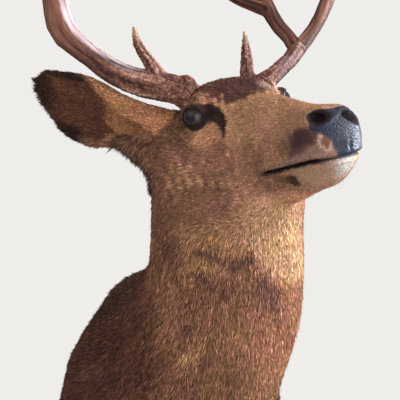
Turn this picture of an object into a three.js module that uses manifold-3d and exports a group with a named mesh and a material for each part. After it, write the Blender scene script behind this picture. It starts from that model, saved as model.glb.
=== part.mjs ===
// A mule deer buck's shoulder mount: head, neck and shoulders on a hidden flat backboard.
// Millimetres, +Z up. The wall is the plane y = 0, the deer looks towards -Y, its left is +X.
// The head has a frame of its own: x runs forward along the mouth line, y to the deer's left,
// z up, from a point midway between the eyes.
import * as THREE from 'three';
import { mergeVertices } from 'three/addons/utils/BufferGeometryUtils.js';
import Module from 'manifold-3d';

const wasm = await Module();
wasm.setup();

// ---- driving dimensions ----
const gap = 0.3; // between touching pieces
// the backboard has the outline of the hide at the wall, a little smaller all round
const board = { thick: 18, scale: 0.93, pocketScale: 0.932 };
const cutReach = 1600; // edge of the boxes that cut, wider than the whole mount

// where the head is and how it is turned, in degrees
const headPlace = new THREE.Vector3(89, -396, 339);
const headTurn = 24; // towards the deer's left
const headNod = 22; // nose down
const headTilt = 22; // left side up

// ---- frames ----
const degree = Math.PI / 180;

/** A frame whose x axis is forward, y axis the deer's left and z axis up. */
function frameAt(place, turn, nod, tilt) {
  const forward = new THREE.Vector3(Math.sin(turn * degree), -Math.cos(turn * degree), 0);
  const left = new THREE.Vector3(Math.cos(turn * degree), Math.sin(turn * degree), 0);
  forward.applyAxisAngle(left, nod * degree);
  left.applyAxisAngle(forward, tilt * degree);
  const up = new THREE.Vector3().crossVectors(forward, left);
  return new THREE.Matrix4().makeBasis(forward, left, up).setPosition(place);
}

const head = frameAt(headPlace, headTurn, headNod, headTilt);
const inHead = (x, y, z) => new THREE.Vector3(x, y, z).applyMatrix4(head);

// ---- shared geometry ----

/** Value of one field of a table at a place along it, on a smooth curve through the rows. */
function along(table, place, key, field) {
  const last = table.length - 1;
  let row = 0;
  while (row < last - 1 && table[row + 1][key] < place) row += 1;
  const from = table[row];
  const to = table[row + 1];
  const before = table[Math.max(row - 1, 0)];
  const after = table[Math.min(row + 2, last)];
  const span = to[key] - from[key];
  const share = (place - from[key]) / span;
  const slopeFrom = ((to[field] - before[field]) / (to[key] - before[key])) * span;
  const slopeTo = ((after[field] - from[field]) / (after[key] - from[key])) * span;
  const square = share * share;
  const cube = square * share;
  return (
    (2 * cube - 3 * square + 1) * from[field] +
    (cube - 2 * square + share) * slopeFrom +
    (3 * square - 2 * cube) * to[field] +
    (cube - square) * slopeTo
  );
}

/** A closed skin over rings of equal length, with a fan over each end. */
function loft(rings) {
  const count = rings[0].length;
  const points = rings.flat();
  const faces = [];
  for (let ring = 0; ring + 1 < rings.length; ring += 1) {
    for (let side = 0; side < count; side += 1) {
      const next = (side + 1) % count;
      const a = ring * count + side;
      const b = ring * count + next;
      faces.push(a, b, a + count, b, b + count, a + count);
    }
  }
  const middle = (ring) =>
    ring.reduce((sum, point) => sum.add(point), new THREE.Vector3()).divideScalar(count);
  const lastRing = (rings.length - 1) * count;
  points.push(middle(rings[0]), middle(rings[rings.length - 1]));
  for (let side = 0; side < count; side += 1) {
    const next = (side + 1) % count;
    faces.push(points.length - 2, next, side);
    faces.push(points.length - 1, lastRing + side, lastRing + next);
  }
  const geometry = new THREE.BufferGeometry().setFromPoints(points);
  geometry.setIndex(faces);
  return geometry;
}

/** A closed geometry as a solid that can be cut and joined. */
function solidOf(geometry) {
  const bare = geometry.clone();
  bare.deleteAttribute('normal');
  bare.deleteAttribute('uv');
  const merged = mergeVertices(bare, 1e-4);
  const solid = new wasm.Manifold(
    new wasm.Mesh({
      numProp: 3,
      vertProperties: new Float32Array(merged.attributes.position.array),
      triVerts: new Uint32Array(merged.index.array),
    }),
  );
  if (solid.volume() > 0) return solid;
  const index = merged.index.array;
  for (let face = 0; face < index.length; face += 3) {
    [index[face + 1], index[face + 2]] = [index[face + 2], index[face + 1]];
  }
  return new wasm.Manifold(
    new wasm.Mesh({
      numProp: 3,
      vertProperties: new Float32Array(merged.attributes.position.array),
      triVerts: new Uint32Array(index),
    }),
  );
}

const model = new THREE.Group();

function addMesh(name, solid, look) {
  const { numProp, vertProperties, triVerts } = solid.getMesh();
  const geometry = new THREE.BufferGeometry();
  const position = new Float32Array((vertProperties.length / numProp) * 3);
  for (let vertex = 0; vertex * numProp < vertProperties.length; vertex += 1) {
    for (let axis = 0; axis < 3; axis += 1) {
      position[vertex * 3 + axis] = vertProperties[vertex * numProp + axis];
    }
  }
  geometry.setAttribute('position', new THREE.BufferAttribute(position, 3));
  geometry.setIndex(new THREE.BufferAttribute(new Uint32Array(triVerts), 1));
  geometry.computeVertexNormals();
  const mesh = new THREE.Mesh(geometry, look);
  mesh.name = name;
  model.add(mesh);
}

/** A big box whose near face lies in a plane, on the side its normal points to. */
function halfSpace(point, normal, shift = 0) {
  const box = new THREE.BoxGeometry(cutReach, cutReach, cutReach);
  const turn = new THREE.Quaternion().setFromUnitVectors(
    new THREE.Vector3(0, 0, 1),
    normal.clone().normalize(),
  );
  box.translate(0, 0, cutReach / 2 + shift);
  box.applyQuaternion(turn);
  box.translate(point.x, point.y, point.z);
  return solidOf(box);
}

/** Cuts a solid in two at a plane, with the gap between the halves. */
function partAt(solid, point, normal) {
  const beyond = solid.intersect(halfSpace(point, normal, gap / 2));
  const before = solid.subtract(halfSpace(point, normal, -gap / 2));
  return [before, beyond];
}

// ---- looks ----
const coat = (color) => new THREE.MeshStandardMaterial({ color, roughness: 0.95, metalness: 0 });
const looks = {
  shoulder: coat(0x4d3d31),
  neck: coat(0x76604b),
  face: coat(0x8c6f52),
  jaw: coat(0xc9b698),
  ear: coat(0x5a4a3c),
  pad: new THREE.MeshStandardMaterial({ color: 0x1c1d20, roughness: 0.35, metalness: 0 }),
  eye: new THREE.MeshStandardMaterial({ color: 0x120d0b, roughness: 0.05, metalness: 0 }),
  antler: new THREE.MeshStandardMaterial({ color: 0x7a5c48, roughness: 0.6, metalness: 0 }),
  wood: new THREE.MeshStandardMaterial({ color: 0xc89a63, roughness: 0.7, metalness: 0 }),
};

// ---- shoulders and neck ----
// Lines along the back and the front of the body, from the wall up into the head.
const backLine = new THREE.CatmullRomCurve3([
  new THREE.Vector3(-8, -4, 232),
  new THREE.Vector3(-5, -50, 227),
  new THREE.Vector3(8, -100, 222),
  new THREE.Vector3(26, -150, 230),
  new THREE.Vector3(40, -194, 262),
  new THREE.Vector3(38, -232, 316),
  inHead(-124, -4, 0),
  inHead(-80, 0, 26),
]);
const frontLine = new THREE.CatmullRomCurve3([
  new THREE.Vector3(-8, -4, -238),
  new THREE.Vector3(-4, -90, -226),
  new THREE.Vector3(8, -190, -185),
  new THREE.Vector3(36, -275, -110),
  new THREE.Vector3(76, -336, -15),
  new THREE.Vector3(100, -372, 90),
  new THREE.Vector3(115, -393, 175),
  inHead(54, 0, -92),
]);
// half the body's width, how far it is turned and tilted, and how square the section is
const bodyTable = [
  { at: 0.0, half: 172, turn: 0, tilt: 0, square: 0.82 },
  { at: 0.12, half: 176, turn: 1, tilt: 0, square: 0.82 },
  { at: 0.22, half: 160, turn: 4, tilt: 0, square: 0.86 },
  { at: 0.32, half: 128, turn: 9, tilt: 1, square: 0.92 },
  { at: 0.45, half: 106, turn: 16, tilt: 3, square: 1.0 },
  { at: 0.6, half: 95, turn: 22, tilt: 8, square: 1.0 },
  { at: 0.75, half: 100, turn: 24, tilt: 14, square: 1.0 },
  { at: 0.88, half: 95, turn: 24, tilt: 20, square: 1.0 },
  { at: 1.0, half: 60, turn: 24, tilt: 22, square: 1.0 },
];
// swellings and hollows of the body: where, how far they reach, how far they stand out
const bodyForms = [
  { at: [-143, -56, 150], reach: [45, 110, 36], out: -11 },
  { at: [-174, -64, 10], reach: [60, 100, 62], out: 9 },
  { at: [150, -304, 88], reach: [55, 75, 46], out: 8 },
  { at: [166, -66, -20], reach: [50, 90, 60], out: -8 },
  { at: [168, -338, 204], reach: [36, 60, 28], out: -7 },
];
const bodyRings = 20;
const bodySides = 26;

/** Moves a point of the body out from the middle of its ring by the forms near it. */
function formed(point, centre) {
  const out = bodyForms.reduce((sum, { at, reach, out: height }) => {
    const away = (axis, value) => ((value - at[axis]) / reach[axis]) ** 2;
    return sum + height * Math.exp(-away(0, point.x) - away(1, point.y) - away(2, point.z));
  }, 0);
  return point.addScaledVector(point.clone().sub(centre).normalize(), out);
}

function bodyRing(share) {
  const back = backLine.getPoint(share);
  const front = frontLine.getPoint(share);
  const centre = back.clone().add(front).multiplyScalar(0.5);
  const up = back.clone().sub(centre);
  const turn = along(bodyTable, share, 'at', 'turn') * degree;
  const tilt = along(bodyTable, share, 'at', 'tilt') * degree;
  const left = new THREE.Vector3(
    Math.cos(turn) * Math.cos(tilt),
    Math.sin(turn) * Math.cos(tilt),
    Math.sin(tilt),
  );
  const unit = up.clone().normalize();
  left.addScaledVector(unit, -left.dot(unit)).normalize();
  const half = along(bodyTable, share, 'at', 'half');
  const square = along(bodyTable, share, 'at', 'square');
  const ring = [];
  for (let side = 0; side < bodySides; side += 1) {
    const angle = (side / bodySides) * 2 * Math.PI;
    const across = Math.sign(Math.cos(angle)) * Math.abs(Math.cos(angle)) ** square;
    const lift = Math.sign(Math.sin(angle)) * Math.abs(Math.sin(angle)) ** square;
    const point = centre.clone().addScaledVector(left, across * half).addScaledVector(up, lift);
    ring.push(formed(point, centre));
  }
  return ring;
}

const body = solidOf(
  loft(Array.from({ length: bodyRings }, (_, ring) => bodyRing(ring / (bodyRings - 1)))),
);

// ---- head ----
// x forward; top and foot are heights of the profile, wide is half the width, crown over 0 widens
// the upper half
const headTable = [
  { x: -118, top: 8, foot: -16, wide: 22, crown: 0, square: 1 },
  { x: -106, top: 20, foot: -50, wide: 50, crown: 0, square: 1 },
  { x: -80, top: 30, foot: -84, wide: 64, crown: 0.05, square: 0.95 },
  { x: -50, top: 41, foot: -102, wide: 67, crown: 0.1, square: 0.88 },
  { x: -20, top: 40, foot: -109, wide: 66, crown: 0.16, square: 0.84 },
  { x: 0, top: 35, foot: -114, wide: 61, crown: 0.18, square: 0.84 },
  { x: 25, top: 25, foot: -120, wide: 53, crown: 0.14, square: 0.88 },
  { x: 50, top: 14, foot: -126, wide: 46, crown: 0.08, square: 0.92 },
  { x: 80, top: 4, foot: -125, wide: 39, crown: 0.0, square: 0.95 },
  { x: 110, top: -5, foot: -117, wide: 34, crown: -0.05, square: 0.95 },
  { x: 140, top: -14, foot: -108, wide: 31, crown: -0.05, square: 0.92 },
  { x: 162, top: -19, foot: -104, wide: 30, crown: 0.02, square: 0.9 },
  { x: 178, top: -22, foot: -94, wide: 28, crown: 0.08, square: 0.88 },
  { x: 190, top: -26, foot: -84, wide: 24, crown: 0.1, square: 0.92 },
  { x: 198, top: -34, foot: -72, wide: 17, crown: 0.05, square: 0.95 },
  { x: 202, top: -44, foot: -62, wide: 8, crown: 0, square: 1 },
];
// swellings and hollows of both sides of the head: where, how far they reach, how far they stand
// out and how far they lift
const headForms = {
  brow: { x: -6, z: 22, long: 22, high: 11, out: 8, up: 0 },
  pedicle: { x: -38, z: 30, long: 15, high: 9, out: 6, up: 6 },
  eyeRing: { x: -10, z: -4, long: 18, high: 16, out: 4, up: 0 },
  temple: { x: -48, z: 16, long: 18, high: 14, out: -5, up: 0 },
  gland: { x: 32, z: -6, long: 13, high: 9, out: -4, up: 0 },
  cheekBone: { x: 20, z: -34, long: 40, high: 9, out: 3, up: 0 },
  jawMuscle: { x: -22, z: -66, long: 34, high: 26, out: 6, up: 0 },
  nostrilWing: { x: 178, z: -33, long: 13, high: 11, out: 5, up: 5 },
  upperLip: { x: 152, z: -58, long: 30, high: 12, out: 3, up: 0 },
  mouthHollow: { x: 104, z: -80, long: 26, high: 8, out: -3, up: 0 },
};
const headSides = 26;
const headRings = 29;

/** Sum of one field of the head's forms at a place, each fading out over its reach. */
function swelling(x, z, field) {
  return Object.values(headForms).reduce((sum, form) => {
    const reach = ((x - form.x) / form.long) ** 2 + ((z - form.z) / form.high) ** 2;
    return sum + form[field] * Math.exp(-reach);
  }, 0);
}

function headRing(x) {
  const top = along(headTable, x, 'x', 'top');
  const foot = along(headTable, x, 'x', 'foot');
  const wide = along(headTable, x, 'x', 'wide');
  const crown = along(headTable, x, 'x', 'crown');
  const square = along(headTable, x, 'x', 'square');
  const middle = (top + foot) / 2;
  const tall = (top - foot) / 2;
  const ring = [];
  for (let side = 0; side < headSides; side += 1) {
    const angle = (side / headSides) * 2 * Math.PI;
    const across = Math.sign(Math.cos(angle)) * Math.abs(Math.cos(angle)) ** square;
    const lift = Math.sign(Math.sin(angle)) * Math.abs(Math.sin(angle)) ** square;
    const height = middle + lift * tall;
    const width = across * wide * (1 + crown * lift);
    const out = Math.cos(angle) * swelling(x, height, 'out');
    const rise = Math.abs(Math.cos(angle)) * swelling(x, height, 'up');
    ring.push(inHead(x, width + out, height + rise));
  }
  return ring;
}

const headStart = headTable[0].x;
const headEnd = headTable[headTable.length - 1].x;
const headSolid = solidOf(
  loft(
    Array.from({ length: headRings }, (_, ring) =>
      headRing(headStart + ((headEnd - headStart) * ring) / (headRings - 1)),
    ),
  ),
);

// ---- eyes ----
const eyeRadius = 17.5;
const eyePlace = { right: { x: -14, y: -58, z: -1 }, left: { x: -11, y: 62, z: 0 } };

function eyeBall(side, radius) {
  const ball = new THREE.SphereGeometry(radius, 16, 10);
  const { x, y, z } = side < 0 ? eyePlace.right : eyePlace.left;
  const centre = inHead(x, y, z);
  ball.translate(centre.x, centre.y, centre.z);
  return solidOf(ball);
}

// ---- nostrils ----
// half sizes of the hollow, where it is, and how it dips forwards and turns outwards, in degrees
const nostrilHollow = {
  long: 15, wide: 7, high: 6, x: 186, y: 23, z: -33, dip: 20, turn: 31.5,
};

function nostril(side) {
  const hollow = new THREE.SphereGeometry(1, 10, 6);
  hollow.scale(nostrilHollow.long, nostrilHollow.wide, nostrilHollow.high);
  hollow.rotateY(nostrilHollow.dip * degree);
  hollow.rotateZ(side * nostrilHollow.turn * degree);
  hollow.translate(nostrilHollow.x, side * nostrilHollow.y, nostrilHollow.z);
  hollow.applyMatrix4(head);
  return solidOf(hollow);
}

// ---- ears ----
const earLength = 282;
const earRoot = { x: -85, y: 58, z: -4 };
// which way each ear points and which way its opening faces, in the head's frame
const earPose = {
  right: { side: -1, points: [-0.69, 0.63, 0.34], faces: [0.58, 0.78, -0.2] },
  left: { side: 1, points: [-0.82, 0.56, -0.03], faces: [0.5, 0.82, 0.1] },
};
// radius of the cup, half its arc in degrees, wall, how far it bows towards its opening, and how
// far it leans down towards its lower rim
const earTable = [
  { at: 0.0, radius: 25, arc: 176, wall: 20, bow: 0, lean: 5 },
  { at: 0.12, radius: 28, arc: 172, wall: 17, bow: 0, lean: 6.5 },
  { at: 0.25, radius: 33.5, arc: 152, wall: 10, bow: 0, lean: 8.5 },
  { at: 0.4, radius: 43.5, arc: 112, wall: 8, bow: 2, lean: 8.5 },
  { at: 0.5, radius: 52.5, arc: 97, wall: 7.5, bow: 3.5, lean: 4.5 },
  { at: 0.58, radius: 56, arc: 84, wall: 7, bow: 5, lean: 6 },
  { at: 0.78, radius: 57, arc: 64, wall: 6, bow: 3, lean: 6 },
  { at: 0.92, radius: 50, arc: 48, wall: 5, bow: -4, lean: -2 },
  { at: 1.0, radius: 25, arc: 34, wall: 3, bow: -16, lean: -8 },
];
const earSteps = 12;
const earColumns = 9;
const earInnerArc = 0.97; // the cup's inside stops a little short of its rim

function earSolid({ side, points, faces }) {
  const axis = new THREE.Vector3(points[0], side * points[1], points[2]).normalize();
  const facing = new THREE.Vector3(faces[0], side * faces[1], faces[2]);
  facing.addScaledVector(axis, -facing.dot(axis)).normalize();
  const across = new THREE.Vector3().crossVectors(facing, axis);
  const rings = [];
  for (let step = 0; step < earSteps; step += 1) {
    const share = step / (earSteps - 1);
    const radius = along(earTable, share, 'at', 'radius');
    const arc = along(earTable, share, 'at', 'arc') * degree;
    const wall = along(earTable, share, 'at', 'wall');
    const centre = new THREE.Vector3(earRoot.x, side * earRoot.y, earRoot.z);
    centre.addScaledVector(axis, share * earLength);
    centre.addScaledVector(facing, along(earTable, share, 'at', 'bow'));
    centre.addScaledVector(across, -side * along(earTable, share, 'at', 'lean'));
    const place = (angle, distance) =>
      centre
        .clone()
        .addScaledVector(facing, -Math.cos(angle) * distance)
        .addScaledVector(across, Math.sin(angle) * distance)
        .applyMatrix4(head);
    const ring = [];
    for (let column = 0; column < earColumns; column += 1) {
      ring.push(place(arc * ((2 * column) / (earColumns - 1) - 1), radius));
    }
    for (let column = earColumns - 1; column >= 0; column -= 1) {
      ring.push(place(earInnerArc * arc * ((2 * column) / (earColumns - 1) - 1), radius - wall));
    }
    rings.push(ring);
  }
  return solidOf(loft(rings));
}

// ---- antlers ----
/** A tapering tube along a smooth line of points in the head's frame; grow fattens it all over. */
function tine({ line, radii, sides = 7, steps = 7 }, grow = 0) {
  const curve = new THREE.CatmullRomCurve3(line.map(([x, y, z]) => inHead(x, y, z)));
  const frames = curve.computeFrenetFrames(steps, false);
  const rings = [];
  for (let step = 0; step <= steps; step += 1) {
    const place = curve.getUtoTmapping(step / steps);
    const centre = curve.getPoint(place);
    const row = place * (radii.length - 1);
    const below = Math.min(Math.floor(row), radii.length - 2);
    const radius = THREE.MathUtils.lerp(radii[below], radii[below + 1], row - below) + grow;
    const ring = [];
    for (let side = 0; side < sides; side += 1) {
      const angle = (side / sides) * 2 * Math.PI;
      ring.push(
        centre
          .clone()
          .addScaledVector(frames.normals[step], Math.cos(angle) * radius)
          .addScaledVector(frames.binormals[step], Math.sin(angle) * radius),
      );
    }
    rings.push(ring);
  }
  return solidOf(loft(rings));
}

// Each antler: a beam from the burr to its main fork, a brow tine on it, and two forks of two
// points. The left one parts much nearer the head than the right one.
const antlers = {
  right: {
    burr: { at: [-46, -56, 35], towards: [-0.25, -0.9, 0.35], radius: 22 },
    beam: {
      line: [
        [-38, -30, 4], [-47, -61, 37], [-62, -96, 54], [-71, -118, 66], [-80, -137, 82],
        [-88, -158, 107], [-95, -178, 136], [-103, -180, 182], [-100, -176, 222],
      ],
      radii: [21, 18, 18.5, 16.5, 15.5, 13.5, 15.5, 16.5, 16],
      sides: 12,
      steps: 16,
    },
    brow: {
      line: [[-55, -81, 56], [-53, -90, 78], [-52, -98, 93], [-50, -103, 106], [-47, -104, 125]],
      radii: [11.5, 7.5, 6, 5, 1.5],
    },
    front: {
      line: [[-101, -178, 212], [-92, -178, 246], [-62, -182, 284], [-22, -172, 326], [-2, -158, 372]],
      radii: [15.5, 13, 11, 8, 2.5],
      steps: 10,
    },
    frontTine: {
      line: [[-62, -182, 280], [-66, -196, 316], [-54, -200, 356], [-40, -196, 392]],
      radii: [9, 8, 6, 2.5],
    },
    rear: {
      line: [[-101, -178, 208], [-118, -168, 248], [-132, -160, 296], [-130, -148, 352], [-118, -138, 402]],
      radii: [14, 12, 10, 8, 2.5],
      steps: 10,
    },
    rearTine: {
      line: [[-130, -160, 286], [-152, -170, 318], [-162, -174, 356], [-160, -170, 388]],
      radii: [9, 8, 6, 2.5],
    },
  },
  left: {
    burr: { at: [-42, 49, 23], towards: [-0.25, 0.9, 0.35], radius: 19.5 },
    beam: {
      line: [
        [-38, 30, 4], [-43, 52, 24], [-48, 73, 33], [-54, 93, 42],
        [-61, 112, 51], [-67, 129, 60], [-72, 144, 72],
      ],
      radii: [18, 16.5, 12.5, 11.5, 11, 11.5, 12.5],
      sides: 12,
      steps: 9,
    },
    brow: {
      line: [[-46, 38, 30], [-43, 39, 50], [-40, 41, 69], [-38, 42, 85], [-36, 43, 100]],
      radii: [11.5, 9.5, 7.5, 4.5, 1.5],
    },
    front: {
      line: [
        [-71, 143, 70], [-76, 169, 87], [-80, 191, 105], [-82, 210, 126],
        [-83, 227, 150], [-66, 246, 214], [-30, 244, 258], [14, 226, 292],
      ],
      radii: [12, 10.5, 10, 10.5, 11.5, 11, 8, 2.5],
      sides: 9,
      steps: 12,
    },
    frontTine: {
      line: [[-68, 245, 208], [-74, 262, 246], [-62, 268, 288], [-44, 262, 324]],
      radii: [9, 8, 6, 2.5],
    },
    rear: {
      line: [
        [-72, 142, 72], [-81, 140, 89], [-87, 136, 100], [-94, 131, 115], [-101, 128, 135],
        [-106, 126, 156], [-113, 130, 206], [-108, 134, 254], [-92, 138, 298],
      ],
      radii: [11.5, 10.5, 10.5, 11, 11, 11, 10, 8, 2.5],
      sides: 9,
      steps: 11,
    },
    rearTine: {
      line: [[-103, 127, 138], [-113, 109, 152], [-125, 89, 168], [-135, 64, 195], [-136, 52, 236]],
      radii: [11, 10, 9, 7, 2.5],
      steps: 10,
    },
  },
};

/** The rough crown of bone round the foot of a beam. */
function burrSolid({ at, towards, radius }) {
  const profile = [
    [0, -12], [0.78, -12], [0.95, -5], [1, 0], [0.93, 5], [0.74, 11], [0, 14],
  ].map(([across, height]) => new THREE.Vector2(across * radius, height));
  const ring = new THREE.LatheGeometry(profile, 12);
  const axis = new THREE.Vector3(...towards).normalize();
  ring.applyQuaternion(new THREE.Quaternion().setFromUnitVectors(new THREE.Vector3(0, 1, 0), axis));
  ring.translate(...at);
  ring.applyMatrix4(head);
  return solidOf(ring);
}

// ---- backboard ----
/** The body's section at the wall, scaled, as a flat slab between two depths. */
function boardSolid(scale, from, to) {
  const ring = (depth) =>
    bodyRing(0).map((point) => new THREE.Vector3(point.x * scale, depth, point.z * scale));
  return solidOf(loft([ring(from), ring(to)]));
}

const backboard = boardSolid(board.scale, 0, -board.thick);
const pocket = boardSolid(board.pocketScale, board.thick, -board.thick - gap);

// ---- web of skin ----
// from the lower root of the right ear down to the neck, as a line in the head's frame
const web = {
  line: [[-151, -130, -5], [-127, -111, -23], [-100, -102, -45], [-69, -99, -69]],
  radii: [12, 17, 17.5, 16],
  steps: 5,
};

// ---- cuts between the parts of the body ----
// the mouth from in front of the lips to behind the corner of the jaw, as x and z in the head
const mouthLine = [[230, -67], [197, -70], [174, -69], [130, -73], [86, -79], [-90, -106]];
const jawBlock = { foot: -220, wide: 240 };

/** Everything under the line of the mouth. */
function underMouth(shift) {
  const shape = new THREE.Shape(mouthLine.map(([x, z]) => new THREE.Vector2(x, z + shift)));
  shape.lineTo(mouthLine[mouthLine.length - 1][0], jawBlock.foot);
  shape.lineTo(mouthLine[0][0], jawBlock.foot);
  const slab = new THREE.ExtrudeGeometry(shape, { depth: jawBlock.wide, bevelEnabled: false });
  slab.rotateX(Math.PI / 2);
  slab.translate(0, jawBlock.wide / 2, 0);
  slab.applyMatrix4(head);
  return solidOf(slab);
}

/** Moves a solid a little, so that what it cuts keeps a gap to it. */
function nudged(solid, x, y, z) {
  const step = new THREE.Vector3(x, y, z).transformDirection(head).multiplyScalar(2 * gap);
  return solid.translate([step.x, step.y, step.z]);
}

/** The biggest piece of a solid, without the slivers that a cut may leave. */
function biggest(solid) {
  return solid
    .decompose()
    .reduce((best, piece) => (piece.volume() > best.volume() ? piece : best));
}

const sides = { right: -1, left: 1 };
let flesh = body.add(headSolid).add(tine(web)).subtract(pocket);
for (const side of Object.values(sides)) {
  flesh = flesh.subtract(eyeBall(side, eyeRadius + gap)).subtract(nostril(side));
}

const throatCut = { point: inHead(-112, 0, -10), normal: new THREE.Vector3(0.48, 0, 0.88) };
const shoulderCut = {
  point: new THREE.Vector3(10, -84, 220),
  normal: new THREE.Vector3(0.1, -0.66, 0.75),
};
const padCut = { point: inHead(181, 0, -40), normal: new THREE.Vector3(0.93, 0, 0.36) };
throatCut.normal.transformDirection(head);
padCut.normal.transformDirection(head);

const [belowHead, wholeHead] = partAt(flesh, throatCut.point, throatCut.normal);
const [shoulders, neck] = partAt(belowHead, shoulderCut.point, shoulderCut.normal);
const lowerJaw = wholeHead.intersect(underMouth(-gap));
const upperHead = wholeHead.subtract(underMouth(gap));
const [skull, nosePad] = partAt(upperHead, padCut.point, padCut.normal);

// ---- the mount ----
addMesh('backboard', backboard, looks.wood);
addMesh('shoulders', shoulders, looks.shoulder);
addMesh('neck', neck, looks.neck);
addMesh('head', skull, looks.face);
addMesh('lower_jaw', lowerJaw, looks.jaw);
addMesh('nose_pad', nosePad, looks.pad);
for (const [name, side] of Object.entries(sides)) {
  const near = nudged(flesh, -0.4, side, 0.2).add(tine(web, gap)).add(flesh);
  addMesh(`eye_${name}`, eyeBall(side, eyeRadius), looks.eye);
  addMesh(`ear_${name}`, biggest(earSolid(earPose[name]).subtract(near)), looks.ear);

  const rack = antlers[name];
  const beam = biggest(tine(rack.beam).add(burrSolid(rack.burr)).subtract(near));
  const fatBeam = tine(rack.beam, gap);
  const front = biggest(tine(rack.front).subtract(fatBeam));
  const fatFront = tine(rack.front, gap);
  const rear = biggest(tine(rack.rear).subtract(fatBeam).subtract(fatFront));
  const fatRear = tine(rack.rear, gap);
  const fatBurr = burrSolid({ ...rack.burr, radius: rack.burr.radius + gap });
  const brow = biggest(tine(rack.brow).subtract(fatBeam).subtract(fatBurr).subtract(near));
  addMesh(`beam_${name}`, beam, looks.antler);
  addMesh(`brow_tine_${name}`, brow, looks.antler);
  addMesh(`front_fork_${name}`, front, looks.antler);
  const frontTine = biggest(tine(rack.frontTine).subtract(fatFront));
  const rearTine = biggest(tine(rack.rearTine).subtract(fatRear));
  addMesh(`front_tine_${name}`, frontTine, looks.antler);
  addMesh(`rear_fork_${name}`, rear, looks.antler);
  addMesh(`rear_tine_${name}`, rearTine, looks.antler);
}

export default model;
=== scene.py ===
# Looks of a mule deer shoulder mount: one hide with its coat, eyes, antlers and backboard.
# Metres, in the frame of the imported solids: wall at y = 0, deer towards -Y, its left is +X.
import math
import bmesh
import bpy
import numpy as np
from mathutils import Matrix, Vector
from mathutils.bvhtree import BVHTree
from mathutils.kdtree import KDTree


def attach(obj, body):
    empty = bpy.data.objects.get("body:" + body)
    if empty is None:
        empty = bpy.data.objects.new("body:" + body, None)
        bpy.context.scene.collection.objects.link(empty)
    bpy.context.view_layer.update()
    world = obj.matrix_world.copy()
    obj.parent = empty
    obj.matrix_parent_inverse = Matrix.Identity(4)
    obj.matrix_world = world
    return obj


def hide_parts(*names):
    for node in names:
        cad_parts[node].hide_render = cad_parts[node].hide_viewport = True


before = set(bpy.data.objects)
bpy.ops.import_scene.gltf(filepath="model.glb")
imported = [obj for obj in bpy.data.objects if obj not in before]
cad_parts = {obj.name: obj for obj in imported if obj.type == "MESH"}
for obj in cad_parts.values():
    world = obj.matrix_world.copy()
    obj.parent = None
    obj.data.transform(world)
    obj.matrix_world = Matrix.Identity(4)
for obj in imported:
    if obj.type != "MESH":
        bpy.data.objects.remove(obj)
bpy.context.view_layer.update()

scene = bpy.context.scene
mm = 0.001

cameraSettings = {"place": (0.035, -1.0, -0.04), "pitch": 22.6, "lens": 50, "sensor": 36}

cameraData = bpy.data.cameras.new("camera")
cameraData.lens = cameraSettings["lens"]
cameraData.sensor_width = cameraSettings["sensor"]
camera = bpy.data.objects.new("camera", cameraData)
camera.location = cameraSettings["place"]
camera.rotation_euler = (math.radians(90 + cameraSettings["pitch"]), 0, 0)
scene.collection.objects.link(camera)
scene.camera = camera
print("camera placed")

# the head's own frame: x forward along the mouth, y to the deer's left, z up, from between the eyes
headSettings = {"place": (0.089, -0.396, 0.339), "turn": 24, "nod": 22, "tilt": 22}


def headAxes(turn, nod, tilt):
    forward = Vector((math.sin(math.radians(turn)), -math.cos(math.radians(turn)), 0))
    left = Vector((math.cos(math.radians(turn)), math.sin(math.radians(turn)), 0))
    forward.rotate(Matrix.Rotation(math.radians(nod), 3, left))
    left.rotate(Matrix.Rotation(math.radians(tilt), 3, forward))
    return np.array([forward, left, forward.cross(left)])


headTurn = headAxes(headSettings["turn"], headSettings["nod"], headSettings["tilt"])
headPlace = np.array(headSettings["place"])


def toHead(points):
    return (points - headPlace) @ headTurn.T / mm


def fromHead(points):
    return np.asarray(points, float) * mm @ headTurn + headPlace


def unit(vectors):
    return vectors / np.maximum(np.linalg.norm(vectors, axis=-1, keepdims=True), 1e-12)


def ease(value, low, high):
    share = np.clip((value - low) / (high - low), 0, 1)
    return share * share * (3 - 2 * share)


def blend(a, b, share):
    return a + (b - a) * share


def lumps(points, size, seed, waves=9):
    # smooth noise, about -1 to 1, with lumps of that size in metres
    rng = np.random.default_rng(seed)
    steps = unit(rng.normal(size=(waves, 3))) * rng.uniform(0.7, 1.7, (waves, 1)) * math.pi / size
    starts = rng.uniform(0, 2 * math.pi, waves)
    return np.sin(points @ steps.T + starts).sum(1) / math.sqrt(waves) / 1.2


def smoothLine(points, samples):
    # even samples on a smooth curve through the points
    points = np.asarray(points, float)
    padded = np.vstack([2 * points[0] - points[1], points, 2 * points[-1] - points[-2]])
    places = np.linspace(0, len(points) - 1, samples)
    row = np.minimum(places.astype(int), len(points) - 2)
    t = (places - row)[:, None]
    a, b, c, d = (padded[row + step] for step in range(4))
    return 0.5 * (2 * b + (c - a) * t + (2 * a - 5 * b + 4 * c - d) * t**2
                  + (3 * b - a - 3 * c + d) * t**3)


def nearestOnLine(points, line):
    # distance to a polyline, and the place along it in samples
    best = np.full(len(points), 1e9)
    place = np.zeros(len(points))
    for row in range(len(line) - 1):
        step = line[row + 1] - line[row]
        share = np.clip((points - line[row]) @ step / (step @ step), 0, 1)
        away = np.linalg.norm(points - line[row] - share[:, None] * step, axis=1)
        near = away < best
        best[near] = away[near]
        place[near] = (row + share)[near]
    return best, place


def readTable(value, table):
    # straight lines between the rows of a table of value and result
    return np.interp(value, *np.array(table, float).T)


def hump(away, wide):
    # 1 in the middle, falling off to both sides
    return np.exp(-((away / wide) ** 2))


def softForm(places, form):
    # 1 in the middle of a round form, falling off to nothing beyond its reach
    return np.exp(-(((places - form["at"]) / form["reach"]) ** 2).sum(1))


def folded(local):
    # both sides of the head laid over each other
    return np.column_stack([local[:, 0], np.abs(local[:, 1]), local[:, 2]])


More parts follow.
